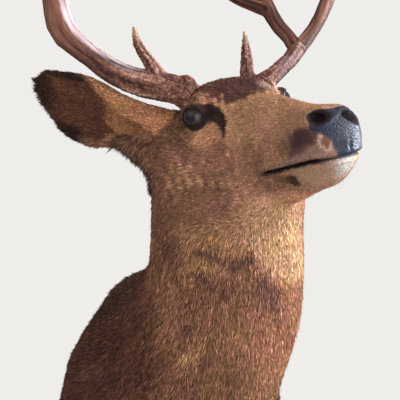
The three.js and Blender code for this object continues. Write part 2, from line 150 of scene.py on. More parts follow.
def readRows(collection, field, width, kind=np.float32):
    found = np.empty(len(collection) * width, kind)
    collection.foreach_get(field, found)
    return found.reshape(-1, width)


def verticesOf(mesh):
    return readRows(mesh.vertices, "co", 3).astype(float)


def normalsOf(mesh):
    return readRows(mesh.vertex_normals, "vector", 3).astype(float)


def edgesOf(mesh):
    return readRows(mesh.edges, "vertices", 2, np.int32)


def setVertices(mesh, points):
    mesh.vertices.foreach_set("co", points.astype(np.float32).ravel())
    mesh.update()


def shadeSmooth(mesh):
    mesh.polygons.foreach_set("use_smooth", [True] * len(mesh.polygons))


def average(edges, values):
    # each vertex's mean over its neighbours
    total = np.zeros_like(values)
    count = np.bincount(edges.ravel(), minlength=len(values))
    for column in range(values.shape[1]):
        total[:, column] = (np.bincount(edges[:, 0], values[edges[:, 1], column], len(values))
                            + np.bincount(edges[:, 1], values[edges[:, 0], column], len(values)))
    return total / np.maximum(count, 1)[:, None]


def addPiece(name, mesh):
    piece = bpy.data.objects.new(name, mesh)
    scene.collection.objects.link(piece)
    return piece


def putAttribute(mesh, name, kind, values):
    attribute = mesh.attributes.get(name) or mesh.attributes.new(name, kind, "POINT")
    field = {"FLOAT": "value", "FLOAT_VECTOR": "vector", "FLOAT_COLOR": "color"}[kind]
    values = np.asarray(values, np.float32)
    if kind == "FLOAT_COLOR":
        values = np.hstack([values, np.ones((len(values), 1), np.float32)])
    attribute.data.foreach_set(field, values.ravel())


def wire(node, inputs):
    # each input takes a value or another node's output
    for key, value in inputs.items():
        if isinstance(value, bpy.types.NodeSocket):
            node.id_data.links.new(value, node.inputs[key])
        else:
            node.inputs[key].default_value = value
    return node


def addNode(tree, kind, inputs=None, **settings):
    node = tree.nodes.new("ShaderNode" + kind)
    for key, value in settings.items():
        setattr(node, key, value)
    return wire(node, inputs or {})


def newMaterial(name):
    material = bpy.data.materials.new(name)
    material.use_nodes = True
    return material, material.node_tree, material.node_tree.nodes["Principled BSDF"]


def stored(tree, name, output="Fac"):
    # what the mesh holds under that name
    return addNode(tree, "Attribute", attribute_name=name).outputs[output]


def mixed(tree, share, first, second, way="MIX"):
    # colours mixed by share, or multiplied
    return addNode(tree, "Mix", {"Factor": share, "A": first, "B": second},
                   data_type="RGBA", blend_type=way).outputs["Result"]


def ranged(tree, source, **ends):
    names = {"fromLow": "From Min", "fromHigh": "From Max", "low": "To Min", "high": "To Max"}
    inputs = {names[end]: value for end, value in ends.items()}
    return addNode(tree, "MapRange", {"Value": source, **inputs}).outputs["Result"]


def bumped(tree, height, look, invert=False):
    return addNode(tree, "Bump", {"Height": height, "Strength": look["bump"], "Distance": look["deep"]},
                   invert=invert).outputs["Normal"]


def ramp(tree, source, stops):
    made = addNode(tree, "ValToRGB", {"Fac": source})
    elements = made.color_ramp.elements
    elements[0].position, elements[0].color = stops[0][0], (*stops[0][1], 1)
    elements[1].position, elements[1].color = stops[-1][0], (*stops[-1][1], 1)
    for position, colour in stops[1:-1]:
        elements.new(position).color = (*colour, 1)
    return made.outputs["Color"]


def mergedCopy(nodes, grow):
    # one mesh of several solids, each fattened a little so that they run into each other
    whole = bmesh.new()
    for node in nodes:
        part = bmesh.new()
        part.from_mesh(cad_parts[node].data)
        bmesh.ops.remove_doubles(part, verts=part.verts, dist=2e-5)
        part.normal_update()
        for vert in part.verts:
            vert.co += vert.normal * grow
        mesh = bpy.data.meshes.new(node + "_copy")
        part.to_mesh(mesh)
        part.free()
        whole.from_mesh(mesh)
        bpy.data.meshes.remove(mesh)
    made = bpy.data.meshes.new("copy")
    whole.to_mesh(made)
    whole.free()
    return made


def remeshed(name, mesh, voxel):
    piece = addPiece(name, mesh)
    remesh = piece.modifiers.new("remesh", "REMESH")
    remesh.mode = "VOXEL"
    remesh.voxel_size = voxel
    shaped = bpy.data.meshes.new_from_object(piece.evaluated_get(bpy.context.evaluated_depsgraph_get()))
    piece.modifiers.clear()
    piece.data = shaped
    bpy.data.meshes.remove(mesh)
    shaped.name = name
    return piece


def treeOf(nodes):
    mesh = mergedCopy(nodes, 0)
    work = bmesh.new()
    work.from_mesh(mesh)
    tree = BVHTree.FromBMesh(work)
    work.free()
    bpy.data.meshes.remove(mesh)
    return tree


def distancesTo(tree, points, reach=0.08):
    found = np.full(len(points), reach)
    for row, point in enumerate(points):
        hit = tree.find_nearest(point, reach)
        if hit[3] is not None:
            found[row] = hit[3]
    return found


# lines along the back and the front of the body, from the wall up into the head
spine = {
    "back": [(-8, -4, 232), (-5, -50, 227), (8, -100, 222), (26, -150, 230), (40, -194, 262),
             (38, -232, 316), (38, -294, 376), (54, -312, 402)],
    "front": [(-8, -4, -238), (-4, -90, -226), (8, -190, -185), (36, -275, -110), (76, -336, -15),
              (100, -372, 90), (115, -393, 175), (128, -399, 240)],
    "samples": 70,
}
backLine = smoothLine(np.array(spine["back"]) * mm, spine["samples"])
frontLine = smoothLine(np.array(spine["front"]) * mm, spine["samples"])


def onBody(points):
    # share from wall to head, height from front -1 to back +1, run of the body and turn round it
    best = np.full(len(points), 1e9)
    row = np.zeros(len(points), int)
    height = np.zeros(len(points))
    for place in range(spine["samples"]):
        rise = backLine[place] - frontLine[place]
        up = np.clip((points - frontLine[place]) @ rise / (rise @ rise), 0, 1)
        away = np.linalg.norm(points - frontLine[place] - up[:, None] * rise, axis=1)
        near = away < best
        best[near] = away[near]
        row[near] = place
        height[near] = 2 * up[near] - 1
    run = [unit(np.gradient(line, axis=0)) for line in (frontLine, backLine)]
    along = unit(blend(run[0][row], run[1][row], ((height + 1) / 2)[:, None]))
    middle = (backLine[row] + frontLine[row]) / 2
    rise = unit(backLine[row] - frontLine[row])
    across = np.cross(along, rise)
    turn = np.arctan2(((points - middle) * across).sum(1), ((points - middle) * rise).sum(1))
    return {"share": row / (spine["samples"] - 1), "height": height, "along": along, "turn": turn}


# both ears, in the head's frame, in millimetres
earSettings = {
    "right": {"side": -1, "points": (-0.69, 0.63, 0.34), "faces": (0.58, 0.78, -0.2)},
    "left": {"side": 1, "points": (-0.82, 0.56, -0.03), "faces": (0.5, 0.82, 0.1)},
    "root": (-85, 58, -4),
    "length": 282,
    "lean": [(0, 5), (0.12, 6.5), (0.25, 8.5), (0.4, 8.5), (0.5, 4.5), (0.58, 6), (0.78, 6), (0.92, -2),
             (1.0, -8)],
    # how far the cup's arc reaches to each side, in degrees, by the share along the ear
    "arc": [(0, 176), (0.12, 172), (0.25, 152), (0.4, 112), (0.5, 97), (0.58, 84), (0.78, 64), (0.92, 48),
            (1.0, 34)],
}


def onEar(points, name):
    # share from root to tip, angle round the cup, and which way the ear points and opens
    settings = earSettings[name]
    mirror = np.array([1, settings["side"], 1])
    axis = unit(np.array(settings["points"]) * mirror)
    facing = np.array(settings["faces"]) * mirror
    facing = unit(facing - axis * (facing @ axis))
    across = np.cross(facing, axis)
    away = toHead(points) - np.array(earSettings["root"]) * mirror
    lean = readTable(away @ axis / earSettings["length"], earSettings["lean"])
    away = away + settings["side"] * lean[:, None] * across
    return {
        "share": away @ axis / earSettings["length"],
        "turn": np.arctan2(away @ across, -(away @ facing)),
        "out": unit(away - np.outer(away @ axis, axis)) @ headTurn,
        "axis": axis @ headTurn,
        "facing": facing @ headTurn,
    }


# one hide over head, ears, neck and shoulders; lengths with mm are in metres
hide = {
    "voxel": 4.4 * mm,
    "grow": 0.9 * mm,
    "facets": 14,  # passes that take the facets off
    "creases": 40,  # passes that fill the creases
    "cheek": 16, "web": (120, 12), "mound": 60,  # passes at the cheeks, ear roots and eyes
    "shade": 0.62,  # the skin is darker than the coat over it
    "depth": {"body": 5.5 * mm, "neck": 5 * mm, "throat": 4 * mm, "head": 1.8 * mm, "nose": 0.8 * mm,
              "ear": 1.8 * mm},
    # the lower root of each ear runs into the neck in a web of skin
    "webs": [(-100, -108, -38), (-98, 104, -40)],
    "webReach": (66, 38),
    # the board's pocket in the back: how far from the wall it reaches, its middle and its half size
    "pocket": {"deep": -24 * mm, "middle": (-8 * mm, -3 * mm), "half": (172 * mm, 235 * mm)},
}
fleshNodes = ["shoulders", "neck", "head", "lower_jaw", "nose_pad", "ear_right", "ear_left"]

skin = remeshed("hide", mergedCopy(fleshNodes + ["eye_right", "eye_left"], hide["grow"]), hide["voxel"])
print("hide remeshed:", len(skin.data.polygons), "faces")

earTrees = {name: treeOf(["ear_" + name]) for name in ("right", "left")}
restTree = treeOf(["shoulders", "neck", "head"])


def earShares(points):
    # how far each vertex belongs to either ear, from 0 to 1
    rest = distancesTo(restTree, points)
    return {name: ease(rest - distancesTo(tree, points), -1 * mm, 7 * mm)
            for name, tree in earTrees.items()}


def relax(points, edges, passes, strength, keep=-0.52):
    # smooths; a negative keep gives back what each pass shrinks
    for _ in range(passes):
        points = points + strength[:, None] * (average(edges, points) - points)
        points = points + keep * strength[:, None] * (average(edges, points) - points)
    return points


def fillCreases(mesh, points, edges, passes, strength):
    # smooths hollows only, so that creases fill and ridges stay
    for step in range(passes):
        if step % 8 == 0:
            setVertices(mesh, points)
            normals = normalsOf(mesh)
        move = average(edges, points) - points
        outward = ((move * normals).sum(1) > 0) * strength
        points = points + 0.5 * outward[:, None] * move
    return points


points = verticesOf(skin.data)
edges = edgesOf(skin.data)
ears = earShares(points)
earShare = np.maximum(ears["right"], ears["left"])
local = toHead(points)
headShare = ease(local[:, 0], -120, -50) * ease(local[:, 2], -150, -95)
nearWall = ease(points[:, 1], -0.03, -0.012)
loose = 0.6 * (1 - 0.95 * nearWall)
points = relax(points, edges, hide["facets"], loose * (1 - 0.45 * earShare))
bodyLoose = loose * (1 - headShare) * (1 - earShare)
points = relax(points, edges, 2 * hide["facets"], bodyLoose)
throat = (1 - earShare) * ease(local[:, 0], 120, 60) * ease(local[:, 2], -40, -75) * (1 - nearWall)
points = fillCreases(skin.data, points, edges, hide["creases"], throat)
cheek = throat * ease(local[:, 0], -90, -50) * 0.5
points = relax(points, edges, hide["cheek"], cheek, keep=0)
setVertices(skin.data, points)
local = toHead(points)
web = np.maximum(*[ease(np.linalg.norm(local - at, axis=1), *hide["webReach"]) for at in hide["webs"]])
points = fillCreases(skin.data, points, edges, hide["web"][0], web)
points = relax(points, edges, hide["web"][1], 0.6 * web, keep=-0.3)
setVertices(skin.data, points)
print("hide smoothed")

# eyes, mouth and nostrils in the head's frame, in millimetres
eyeSettings = {
    "right": (-14, -58, -1), "left": (-13, 59, 0), "radius": 17.5, "gaze": (0.57, 0.82, -0.02),
    "long": 15.0, "high": 12.0, "lid": 1.5, "slant": 16, "sunk": 4.5, "around": 34,
}
mouth = {
    "line": [(78, -81), (86, -80), (130, -76), (160, -73), (174, -72), (197, -73.5), (230, -73)],
    "deep": 3.0, "wide": 1.5,
    "lips": [{"above": 5, "wide": 3.2, "out": 1.3}, {"above": -5, "wide": 3.0, "out": 0.8}],
}
nostrils = {
    "right": {"place": (183, -19.5, -31.5), "out": (0.55, -0.82, 0.12), "along": (0.78, 0.54, -0.3),
              "long": 13.2, "high": 8.6, "deep": 9},
    "left": {"place": (192, 10, -36), "out": (0.8, 0.58, 0.1), "along": (0.55, -0.78, -0.3),
             "long": 10.5, "high": 9.5, "deep": 9},
}


def mouthHeight(x):
    return readTable(x, mouth["line"])


def nostrilFrame(name):
    # middle, way out, way along the slit and way up, in the head's frame
    settings = nostrils[name]
    way = unit(np.array(settings["out"], float))
    along = np.array(settings["along"], float)
    along = unit(along - way * (along @ way))
    high = np.cross(way, along)
    return np.array(settings["place"], float), way, along, high * np.sign(high[2])


# how far the finer faces reach from each eye and nostril, first and second time
finer = {1: {"eye": 40, "nostril": 30}, 2: {"eye": 27, "nostril": 17}}


def detailNeeded(local, level):
    # which vertices lie where the face has small forms
    found = np.zeros(len(local), bool)
    if level == 1:
        found |= (local[:, 0] > -40) & (local[:, 0] < 230) & (local[:, 2] > -125) & (local[:, 2] < 60)
    for name in ("right", "left"):
        found |= np.linalg.norm(local - eyeSettings[name], axis=1) < finer[level]["eye"]
        found |= np.linalg.norm(local - nostrils[name]["place"], axis=1) < finer[level]["nostril"]
    if level == 2:
        found |= (local[:, 0] > 76) & (np.abs(local[:, 2] - mouthHeight(local[:, 0])) < 6)
    return found


def subdivideWhere(mesh, chosen):
    work = bmesh.new()
    work.from_mesh(mesh)
    work.verts.ensure_lookup_table()
    inside = [edge for edge in work.edges
              if chosen[edge.verts[0].index] and chosen[edge.verts[1].index]]
    bmesh.ops.subdivide_edges(work, edges=inside, cuts=1, use_grid_fill=True)
    bmesh.ops.connect_verts_concave(work, faces=[face for face in work.faces if len(face.verts) > 4])
    work.to_mesh(mesh)
    work.free()


for level in finer:
    points = verticesOf(skin.data)
    subdivideWhere(skin.data, detailNeeded(toHead(points), level) & (sum(earShares(points).values()) < 0.5))
    points = verticesOf(skin.data)
    near = detailNeeded(toHead(points), level)
    points = relax(points, edgesOf(skin.data), 3, np.where(near, 0.5, 0.0))
    if level == 1:
        local = toHead(points)
        mound = sum(ease(np.linalg.norm(local - eyeSettings[name], axis=1), 44, 30)
                    for name in ("right", "left"))
        points = fillCreases(skin.data, points, edgesOf(skin.data), hide["mound"], mound)
    setVertices(skin.data, points)
print("hide refined:", len(skin.data.polygons), "faces")
points = verticesOf(skin.data)
edges = edgesOf(skin.data)
local = toHead(points)
ears = earShares(points)
earShare = np.maximum(ears["right"], ears["left"])
body = onBody(points)
normals = normalsOf(skin.data)

# the hide lies under the coat by its depth; the rim at the wall and the board's pocket stay
headShare = ease(local[:, 0], -110, -40)
outline = np.hypot(*((points[:, [0, 2]] - hide["pocket"]["middle"]) / hide["pocket"]["half"]).T)
pocket = (points[:, 1] > hide["pocket"]["deep"]) & (outline < 0.965)
depth = blend(hide["depth"]["body"], hide["depth"]["neck"], ease(body["share"], 0.3, 0.5))
depth = blend(depth, hide["depth"]["throat"], ease(body["share"], 0.75, 0.9))
depth = blend(depth, hide["depth"]["head"], headShare)
depth = blend(depth, hide["depth"]["nose"], ease(local[:, 0], 120, 175))
depth = blend(depth, hide["depth"]["ear"], earShare)
depth = depth * (1 - 0.5 * ease(points[:, 1], -60 * mm, -10 * mm))
depth[pocket] = 0
sunk = -normals * depth[:, None]
sunk[points[:, 1] > -6 * mm, 1] = 0
points = points + sunk
points = relax(points, edges, 2, 0.4 * (1 - earShare) * (1 - ease(points[:, 1], -0.03, -0.012)))
local = toHead(points)
print("hide drawn in under the coat")


def eyeFrame(name):
    # middle of the ball, way to the front corner, way up and way out
    out = unit(np.array(eyeSettings["gaze"]) * (1, -1 if name == "right" else 1, 1))
    slant = math.radians(eyeSettings["slant"])
    fore = np.array([math.cos(slant), 0, -math.sin(slant)])
    fore = unit(fore - out * (fore @ out))
    up = np.cross(out, fore)
    return np.array(eyeSettings[name], float), fore, up * np.sign(up[2]), out


def eyeOpening(local, name):
    # 1 at the edge of the opening, less inside; and the places in the eye's own frame
    centre, fore, up, out = eyeFrame(name)
    away = local - centre
    u, v, w = away @ fore, away @ up, away @ out
    radius = np.linalg.norm(away, axis=1)
    bend = eyeSettings["radius"] / np.maximum(radius, 1)
    u, v = u * bend, v * bend
    high = eyeSettings["high"] * np.where(v > 0, 1.0, 0.92)
    corner = 1 - 0.22 * np.abs(u / eyeSettings["long"]) ** 2
    reach = np.sqrt((u / eyeSettings["long"]) ** 2 + (v / (high * np.maximum(corner, 0.4))) ** 2)
    reach = np.where((w > 0) & (radius < eyeSettings["around"]), reach, 9)
    return reach, u, v, w, radius


def shapeEyes(local):
    for name in ("right", "left"):
        centre = np.array(eyeSettings[name], float)
        reach, _, v, w, radius = eyeOpening(local, name)
        ball = eyeSettings["radius"]
        lid = ball + eyeSettings["lid"] - 0.9 * ease(reach, 1.16, 1.0) - 0.5 * ease(reach, 1.2, 1.6)
        fold = -1.2 * hump(reach - 1.62, 0.13) * ease(v, 1, 6)
        bag = -0.8 * hump(reach - 1.75, 0.16) * ease(v, -1, -6)
        hold = ease(reach, 1.9, 1.12) * ease(w, -5, 5)  # how firmly the lids hold to the ball
        held = blend(radius, lid, hold) + (fold + bag) * ease(w, -5, 5)
        target = np.where(reach < 1, ball - eyeSettings["sunk"], held)
        moved = centre + (local - centre) * (target / np.maximum(radius, 1e-6))[:, None]
        use = (radius < eyeSettings["around"]) & (w > -5) & (reach < 3)
        local = np.where(use[:, None], moved, local)
    return local


gland = {"line": [(0, 60, 2), (11, 52, 0), (24, 47, -5), (33, 46, -16), (35, 49, -30)],
         "wide": 4.0, "deep": 1.6}


def glandDistance(local):
    return nearestOnLine(folded(local), smoothLine(gland["line"], 14))


def shapeGlands(local, out):
    away, place = glandDistance(local)
    deep = gland["deep"] * hump(away, gland["wide"]) * ease(place, 2, 6)
    rim = 0.3 * hump(away - 8, 4) * ease(place, 3, 7)
    return local + out * (rim - deep)[:, None]


def nostrilPlaces(local, name):
    # reach from the middle of the slit, 1 at its edge; and the places along, up and out of it
    centre, way, along, high = nostrilFrame(name)
    settings = nostrils[name]
    away = local - centre
    u, v, w = away @ along, away @ high, away @ way
    v = v - 0.014 * (u + 3) ** 2 + 0.8  # the slit curls up at its back end
    size = settings["high"] * (1 - 0.3 * ease(-u, 0, settings["long"]))
    return np.sqrt((u / settings["long"]) ** 2 + (v / size) ** 2), u, v, w


def nostrilReach(local, name):
    reach, _, _, w = nostrilPlaces(local, name)
    return np.where(w > -16, reach, 9)


def shapeNostrils(local, out):
    for name in ("right", "left"):
        reach, u, v, w = nostrilPlaces(local, name)
        near = (w > -14) & (reach < 3)
        funnel = 5.5 * ease(reach, 1.08, 0.45)
        hole = nostrils[name]["deep"] * ease(np.hypot((u + 2.5) / 8.5, v / 5), 1.1, 0.5)
        rim = 0.8 * hump(reach - 1.2, 0.16) * ease(v, 6, -2)
        local = local + np.where(near, rim, 0)[:, None] * out
        local = local - np.outer(np.where(near, funnel + hole, 0), nostrilFrame(name)[1])
    return local


def shapeMouth(local, out):
    rise = local[:, 2] - mouthHeight(local[:, 0])
    front = ease(local[:, 0], 80, 96)
    low = ease(local[:, 2], -120, -100)
    groove = mouth["deep"] * hump(rise, mouth["wide"]) * front * low
    lips = sum(lip["out"] * hump(rise - lip["above"], lip["wide"]) * front for lip in mouth["lips"])
    corner = 1.5 * np.exp(-((local[:, 0] - 82) / 5) ** 2 - (rise / 6) ** 2)
    return local + out * (lips + corner - groove)[:, None]


# long low forms of both sides: where, how far they reach, how far they stand out
faceForms = [
    {"at": (60, 46, -34), "reach": (38, 20, 5), "out": 1.4},  # crest of the cheek
    {"at": (60, 46, -47), "reach": (34, 20, 6), "out": -1.4},
    {"at": (120, 34, -26), "reach": (30, 20, 8), "out": -1.2},  # hollow of the muzzle's side
    {"at": (172, 28, -56), "reach": (14, 20, 6), "out": 1.2},  # whisker pad
    {"at": (-6, 52, 24), "reach": (20, 20, 6), "out": 2.0},  # bone over the eye
    {"at": (-30, 70, -66), "reach": (14, 20, 26), "out": -1.5},
    {"at": (184, 15, -24), "reach": (13, 9, 10), "out": 1.2},  # wing over the nostril
    {"at": (184, 0, -22), "reach": (9, 3.5, 14), "out": -1.6},  # dip between the nostrils
    {"at": (197, 0, -62), "reach": (12, 1.4, 9), "out": -1.2},  # cleft of the upper lip
    {"at": (20, 24, 32), "reach": (30, 12, 20), "out": 1.0},
]
# bone round the left eye
leftForms = [{"at": (10, 65, 0), "reach": (12, 12, 14), "out": 7}]


def shapeForms(local, out):
    total = np.zeros(len(local))
    for places, forms in ((folded(local), faceForms), (local, leftForms)):
        for form in forms:
            total += form["out"] * softForm(places, form)
    return local + out * total[:, None]


# forms of neck and shoulders, in the frame of the solids
bodyForms = [
    {"at": (-130, -140, 40), "reach": (50, 90, 50), "out": 7.0},
    {"at": (134, -305, 20), "reach": (40, 50, 50), "out": -2.0},
]
neckFold = {
    "line": [(-30, -310, 140), (-14, -345, 150), (-3, -364, 165), (12, -384, 181), (40, -396, 186),
             (62, -400, 190), (84, -402, 205), (100, -404, 218)],
    "wide": 6, "deep": 2.0,
}


def shapeBody(points, out):
    placed = points / mm
    total = np.zeros(len(points))
    for form in bodyForms:
        total += form["out"] * softForm(placed, form)
    away = nearestOnLine(placed, smoothLine(neckFold["line"], 40))[0]
    total -= neckFold["deep"] * hump(away, neckFold["wide"])
    return points + out * (total * mm)[:, None]


points = shapeBody(points, normalsOf(skin.data) * (1 - earShare)[:, None])
local = toHead(points)
setVertices(skin.data, fromHead(local))
outward = normalsOf(skin.data) @ headTurn.T
faceOnly = (1 - earShare)[:, None]
for shape in (shapeForms, shapeGlands, shapeMouth, shapeNostrils):
    moved = shape(local, outward)
    local = local + (moved - local) * faceOnly
    setVertices(skin.data, fromHead(local))
    outward = normalsOf(skin.data) @ headTurn.T
local = shapeEyes(local)
setVertices(skin.data, fromHead(local))
shadeSmooth(skin.data)
print("face shaped")
points = verticesOf(skin.data)
normals = normalsOf(skin.data)
local = toHead(points)

# colours of the coat, the bare skin and the lips
tints = {
    # shoulder: dark hair with painted shade over it
    "shoulder": (0.080, 0.034, 0.024),
    # painted shade: the top of the shoulders in the recess behind the neck, near the wall, almost black over
    # dark hair
    "withersShade": (0.022, 0.013, 0.011),
    "brisket": (0.055, 0.028, 0.021),
    "neck": (0.148, 0.073, 0.045),
    # collar also serves as painted shade on the upper neck and the back of the jaw
    "collar": (0.118, 0.056, 0.040),
    # painted light: a lighter brown for the side of the chest that faces the light
    "warmLit": (0.205, 0.098, 0.062),
    "nape": (0.085, 0.042, 0.031),
    "cream": (0.315, 0.197, 0.118),
    "gold": (0.285, 0.157, 0.085),
    "plum": (0.080, 0.038, 0.036),
    "face": (0.335, 0.182, 0.114),
    "bridge": (0.375, 0.20, 0.122),
    "cheek": (0.178, 0.088, 0.058),
    "cap": (0.080, 0.037, 0.032),
    # grey hair lightened into painted highlight, used on the left side only
    "greyHighlight": (0.34, 0.24, 0.215),
    "brow": (0.46, 0.245, 0.15),
    "dark": (0.026, 0.013, 0.013),
    "muzzle": (0.055, 0.029, 0.030),
    "lip": (0.235, 0.145, 0.12),
    "lips": (0.025, 0.016, 0.017),
    "worn": (0.22, 0.125, 0.10),
    "pale": (0.46, 0.33, 0.285),
    "throat": (0.54, 0.31, 0.19),
    "rust": (0.125, 0.052, 0.038),
    "jaw": (0.27, 0.145, 0.10),
    "chinGrey": (0.31, 0.19, 0.13),
    "chin": (0.47, 0.44, 0.47),
    "earBack": (0.15, 0.08, 0.053),
    "earCup": (0.105, 0.044, 0.028),
    "earEdge": (0.028, 0.014, 0.010),
    "earPale": (0.33, 0.158, 0.083),
    "fringe": (0.035, 0.018, 0.015),
    "black": (0.012, 0.007, 0.007),
    # near-black nose, with a bluish tint that stands for painted sheen of cool light on the wet skin
    "nose": (0.006, 0.009, 0.021),
    "nostril": (0.014, 0.010, 0.012),
}
# soft-edged patches on both sides of the face, in the head's frame, in millimetres
facePatches = [
    {"at": (110, 10, -4), "reach": (74, 28, 22), "tint": "bridge", "share": 0.9},
    {"at": (40, 36, 0), "reach": (40, 24, 26), "tint": "bridge", "share": 0.6},
    {"at": (-10, 62, -60), "reach": (60, 34, 46), "tint": "cheek", "share": 0.9},
    {"at": (60, 44, -66), "reach": (36, 26, 30), "tint": "cheek", "share": 0.4},
    {"at": (66, 40, -50), "reach": (12, 14, 9), "tint": "collar", "share": 0.35},
    # painted shade: the collar colour laid over the back of the jaw and the upper neck
    {"at": (-34, 90, -50), "reach": (44, 50, 44), "tint": "collar", "share": 0.45, "soft": 0.5},
    {"at": (-32, 127, -112), "reach": (44, 40, 56), "tint": "collar", "share": 0.8, "soft": 0.4},
    {"at": (28, 92, -108), "reach": (56, 48, 34), "tint": "collar", "share": 0.85, "soft": 0.45},
    {"at": (-8, 0, 22), "reach": (66, 46, 38), "tint": "cap", "share": 1.0, "soft": 0.13},
    {"at": (35, 20, 14), "reach": (30, 20, 11), "tint": "cap", "share": 0.9},
    {"at": (-8, 54, 20), "reach": (25, 16, 15), "tint": "brow", "share": 1.0},
    {"line": [(-40, 34, 38), (-24, 40, 33), (-6, 39, 27), (12, 36, 22)], "wide": 6, "tint": "cap",
     "share": 0.9},
    {"at": (8, 60, -26), "reach": (24, 16, 14), "tint": "brow", "share": 0.8, "soft": 0.4},
    {"at": (152, 32, -54), "reach": (27, 18, 15), "tint": "muzzle", "share": 0.62, "soft": 0.5},
    {"at": (161, 31, -48), "reach": (17, 16, 10), "tint": "muzzle", "share": 0.92, "soft": 0.4},
    {"at": (178, 27, -48), "reach": (13, 12, 9), "tint": "muzzle", "share": 0.9, "soft": 0.4},
    {"at": (166, 31, -59), "reach": (20, 14, 8), "tint": "muzzle", "share": 0.55, "soft": 0.4},
    {"at": (112, 26, -98), "reach": (60, 34, 22), "tint": "jaw", "share": 0.8},
    {"at": (92, 8, -116), "reach": (40, 32, 16), "tint": "throat", "share": 1.0, "soft": 0.5},
    {"at": (166, 10, -92), "reach": (38, 34, 23), "tint": "chinGrey", "share": 1.0},
    {"at": (199, -2, -88), "reach": (19, 17, 32), "tint": "chin", "share": 1.0, "soft": 0.5},
    {"line": [(86, 33, -80), (104, 30, -84), (122, 24, -90)], "wide": 3.5, "tint": "dark", "share": 0.45},
    {"at": (131, 24, -91), "reach": (11, 10, 7), "tint": "dark", "share": 0.9},
]
# pale grey hair on the left side only, made paler as painted highlight where the light from that side falls
# on the brow and the bridge
leftHighlights = [
    {"at": (40, 22, 20), "reach": (26, 12, 14), "tint": "greyHighlight", "share": 0.6},
    {"at": (2, 60, 16), "reach": (16, 14, 9), "tint": "greyHighlight", "share": 0.8},
]
# painted highlight: a pale rim on the outer edge of the left eye, where the light from that side catches it
leftEyeGlint = [{"at": (12, 70, 0), "reach": (15, 14, 17), "tint": "chin", "share": 0.95}]
# long dark hair under the root of each ear, as a line in the head's frame
fringe = {
    "line": [(-142, 126, -17), (-132, 120, -26), (-120, 114, -36), (-106, 111, -47), (-94, 109, -58),
             (-80, 111, -70)],
    "wide": 11, "long": 17, "lift": 30,
}
# tables of the small marks of the face, in millimetres
faceMarks = {
    "lidRing": (1.52, 1.32),  # where the dark ring round the lids ends, and where it is full
    "gland": [(0, 12), (3, 12.5), (7, 9), (10, 6.6), (13, 3.8)],  # half width of its dark hair along it
    "lipTop": [(80, 5), (130, 7), (165, 9.5), (188, 17)],  # how high the pale lip reaches over the mouth
    "spot": {"at": (192, 21, -55), "reach": (6, 8, 10)},  # pale spot with a rusty middle by the nose
}
# the bare pad of the nose, in millimetres
nosePad = {
    "start": (179, -40), "slope": (0.93, 0.3), "brim": 16, "middle": 4,
    "halfWidth": [(-76, 16), (-64, 18), (-54, 22), (-44, 30), (-38, 44)],
}


def fringeShare(local):
    return ease(nearestOnLine(folded(local), smoothLine(fringe["line"], 16))[0] / fringe["wide"], 1.5, 0.5)


# patches of the neck and shoulders, in the frame of the solids, in millimetres
bodyPatches = [
    {"at": (30, -400, 215), "reach": (70, 60, 32), "tint": "collar", "share": 0.45},
    # painted shade on the side of the upper neck that turns from the light
    {"at": (-10, -378, 212), "reach": (34, 60, 74), "tint": "collar", "share": 0.75, "soft": 0.5},
    {"at": (44, -388, 158), "reach": (40, 50, 34), "tint": "gold", "share": 0.45, "soft": 0.5},
    {"at": (136, -424, 202), "reach": (40, 44, 22), "tint": "cream", "share": 0.7, "soft": 0.5},
    # painted light: lighter brown where the chest faces the light
    {"at": (125, -340, 70), "reach": (52, 70, 70), "tint": "warmLit", "share": 0.6},
    {"at": (76, -397, 171), "reach": (28, 30, 21), "tint": "gold", "share": 0.85},
    {"at": (44, -392, 172), "reach": (24, 30, 12), "tint": "gold", "share": 0.4},
    {"at": (127, -386, 188), "reach": (50, 66, 44), "tint": "cream", "share": 0.95},
    {"at": (138, -372, 156), "reach": (44, 66, 31), "tint": "cream", "share": 0.95},
    {"line": [(36, -388, 153), (49, -389, 149), (62, -390, 141)], "wide": 3.2, "tint": "plum", "share": 0.8},
    {"line": [(73, -389, 136), (82, -389, 139), (93, -390, 144)], "wide": 4.2, "tint": "plum", "share": 0.9},
    {"line": [(35, -380, 130), (43, -380, 123), (51, -380, 114)], "wide": 4.5, "tint": "plum", "share": 0.75},
    {"at": (63, -380, 108), "reach": (8, 20, 5), "tint": "plum", "share": 0.6},
    {"line": [(104, -376, 116), (116, -370, 109), (120, -364, 100)], "wide": 8, "tint": "plum", "share": 0.7},
    {"at": (18, -353, 72), "reach": (9, 30, 9), "tint": "plum", "share": 0.6},
    {"line": [(0, -368, 168), (6, -366, 158), (10, -364, 146)], "wide": 3, "tint": "plum", "share": 0.6},
    {"line": [(14, -340, 28), (25, -350, 42), (40, -357, 54)], "wide": 6, "tint": "gold", "share": 0.3},
    {"at": (22, -349, 40), "reach": (12, 30, 8), "tint": "gold", "share": 0.7},
]


# where the coat of the shoulder ends, from wall to head, by degrees round from the back
shoulderEdge = [(0, 0.6), (90, 0.57), (120, 0.57), (140, 0.53), (158, 0.40), (180, 0.34)]
# how far along the ear the pale part of the cup reaches, from its upper edge (-1) to its lower (1)
cupEdge = [(-1, 0.47), (-0.7, 0.52), (-0.37, 0.55), (0, 0.53), (0.3, 0.50), (0.42, 0.46), (0.48, 0.35),
           (0.55, 0.36), (0.62, 0.41), (0.73, 0.47), (1, 0.50)]


def lidReach(local, name):
    reach, _, _, _, radius = eyeOpening(local, name)
    return reach * np.maximum(radius / (eyeSettings["radius"] + 1.5), 1)


def patchShare(points, patch, ragged):
    if "line" in patch:
        away = nearestOnLine(points, smoothLine(patch["line"], 12))[0] / patch["wide"]
        return ease(away + 0.3 * ragged, 1.9, 0.7) * patch["share"]
    away = np.linalg.norm((points - patch["at"]) / patch["reach"], axis=1) + 0.16 * ragged
    soft = patch.get("soft", 0.24)
    return ease(away, 0.96 + soft, 0.96 - soft) * patch["share"]


def plain(name, count):
    return np.tile(np.array(tints[name]), (count, 1))


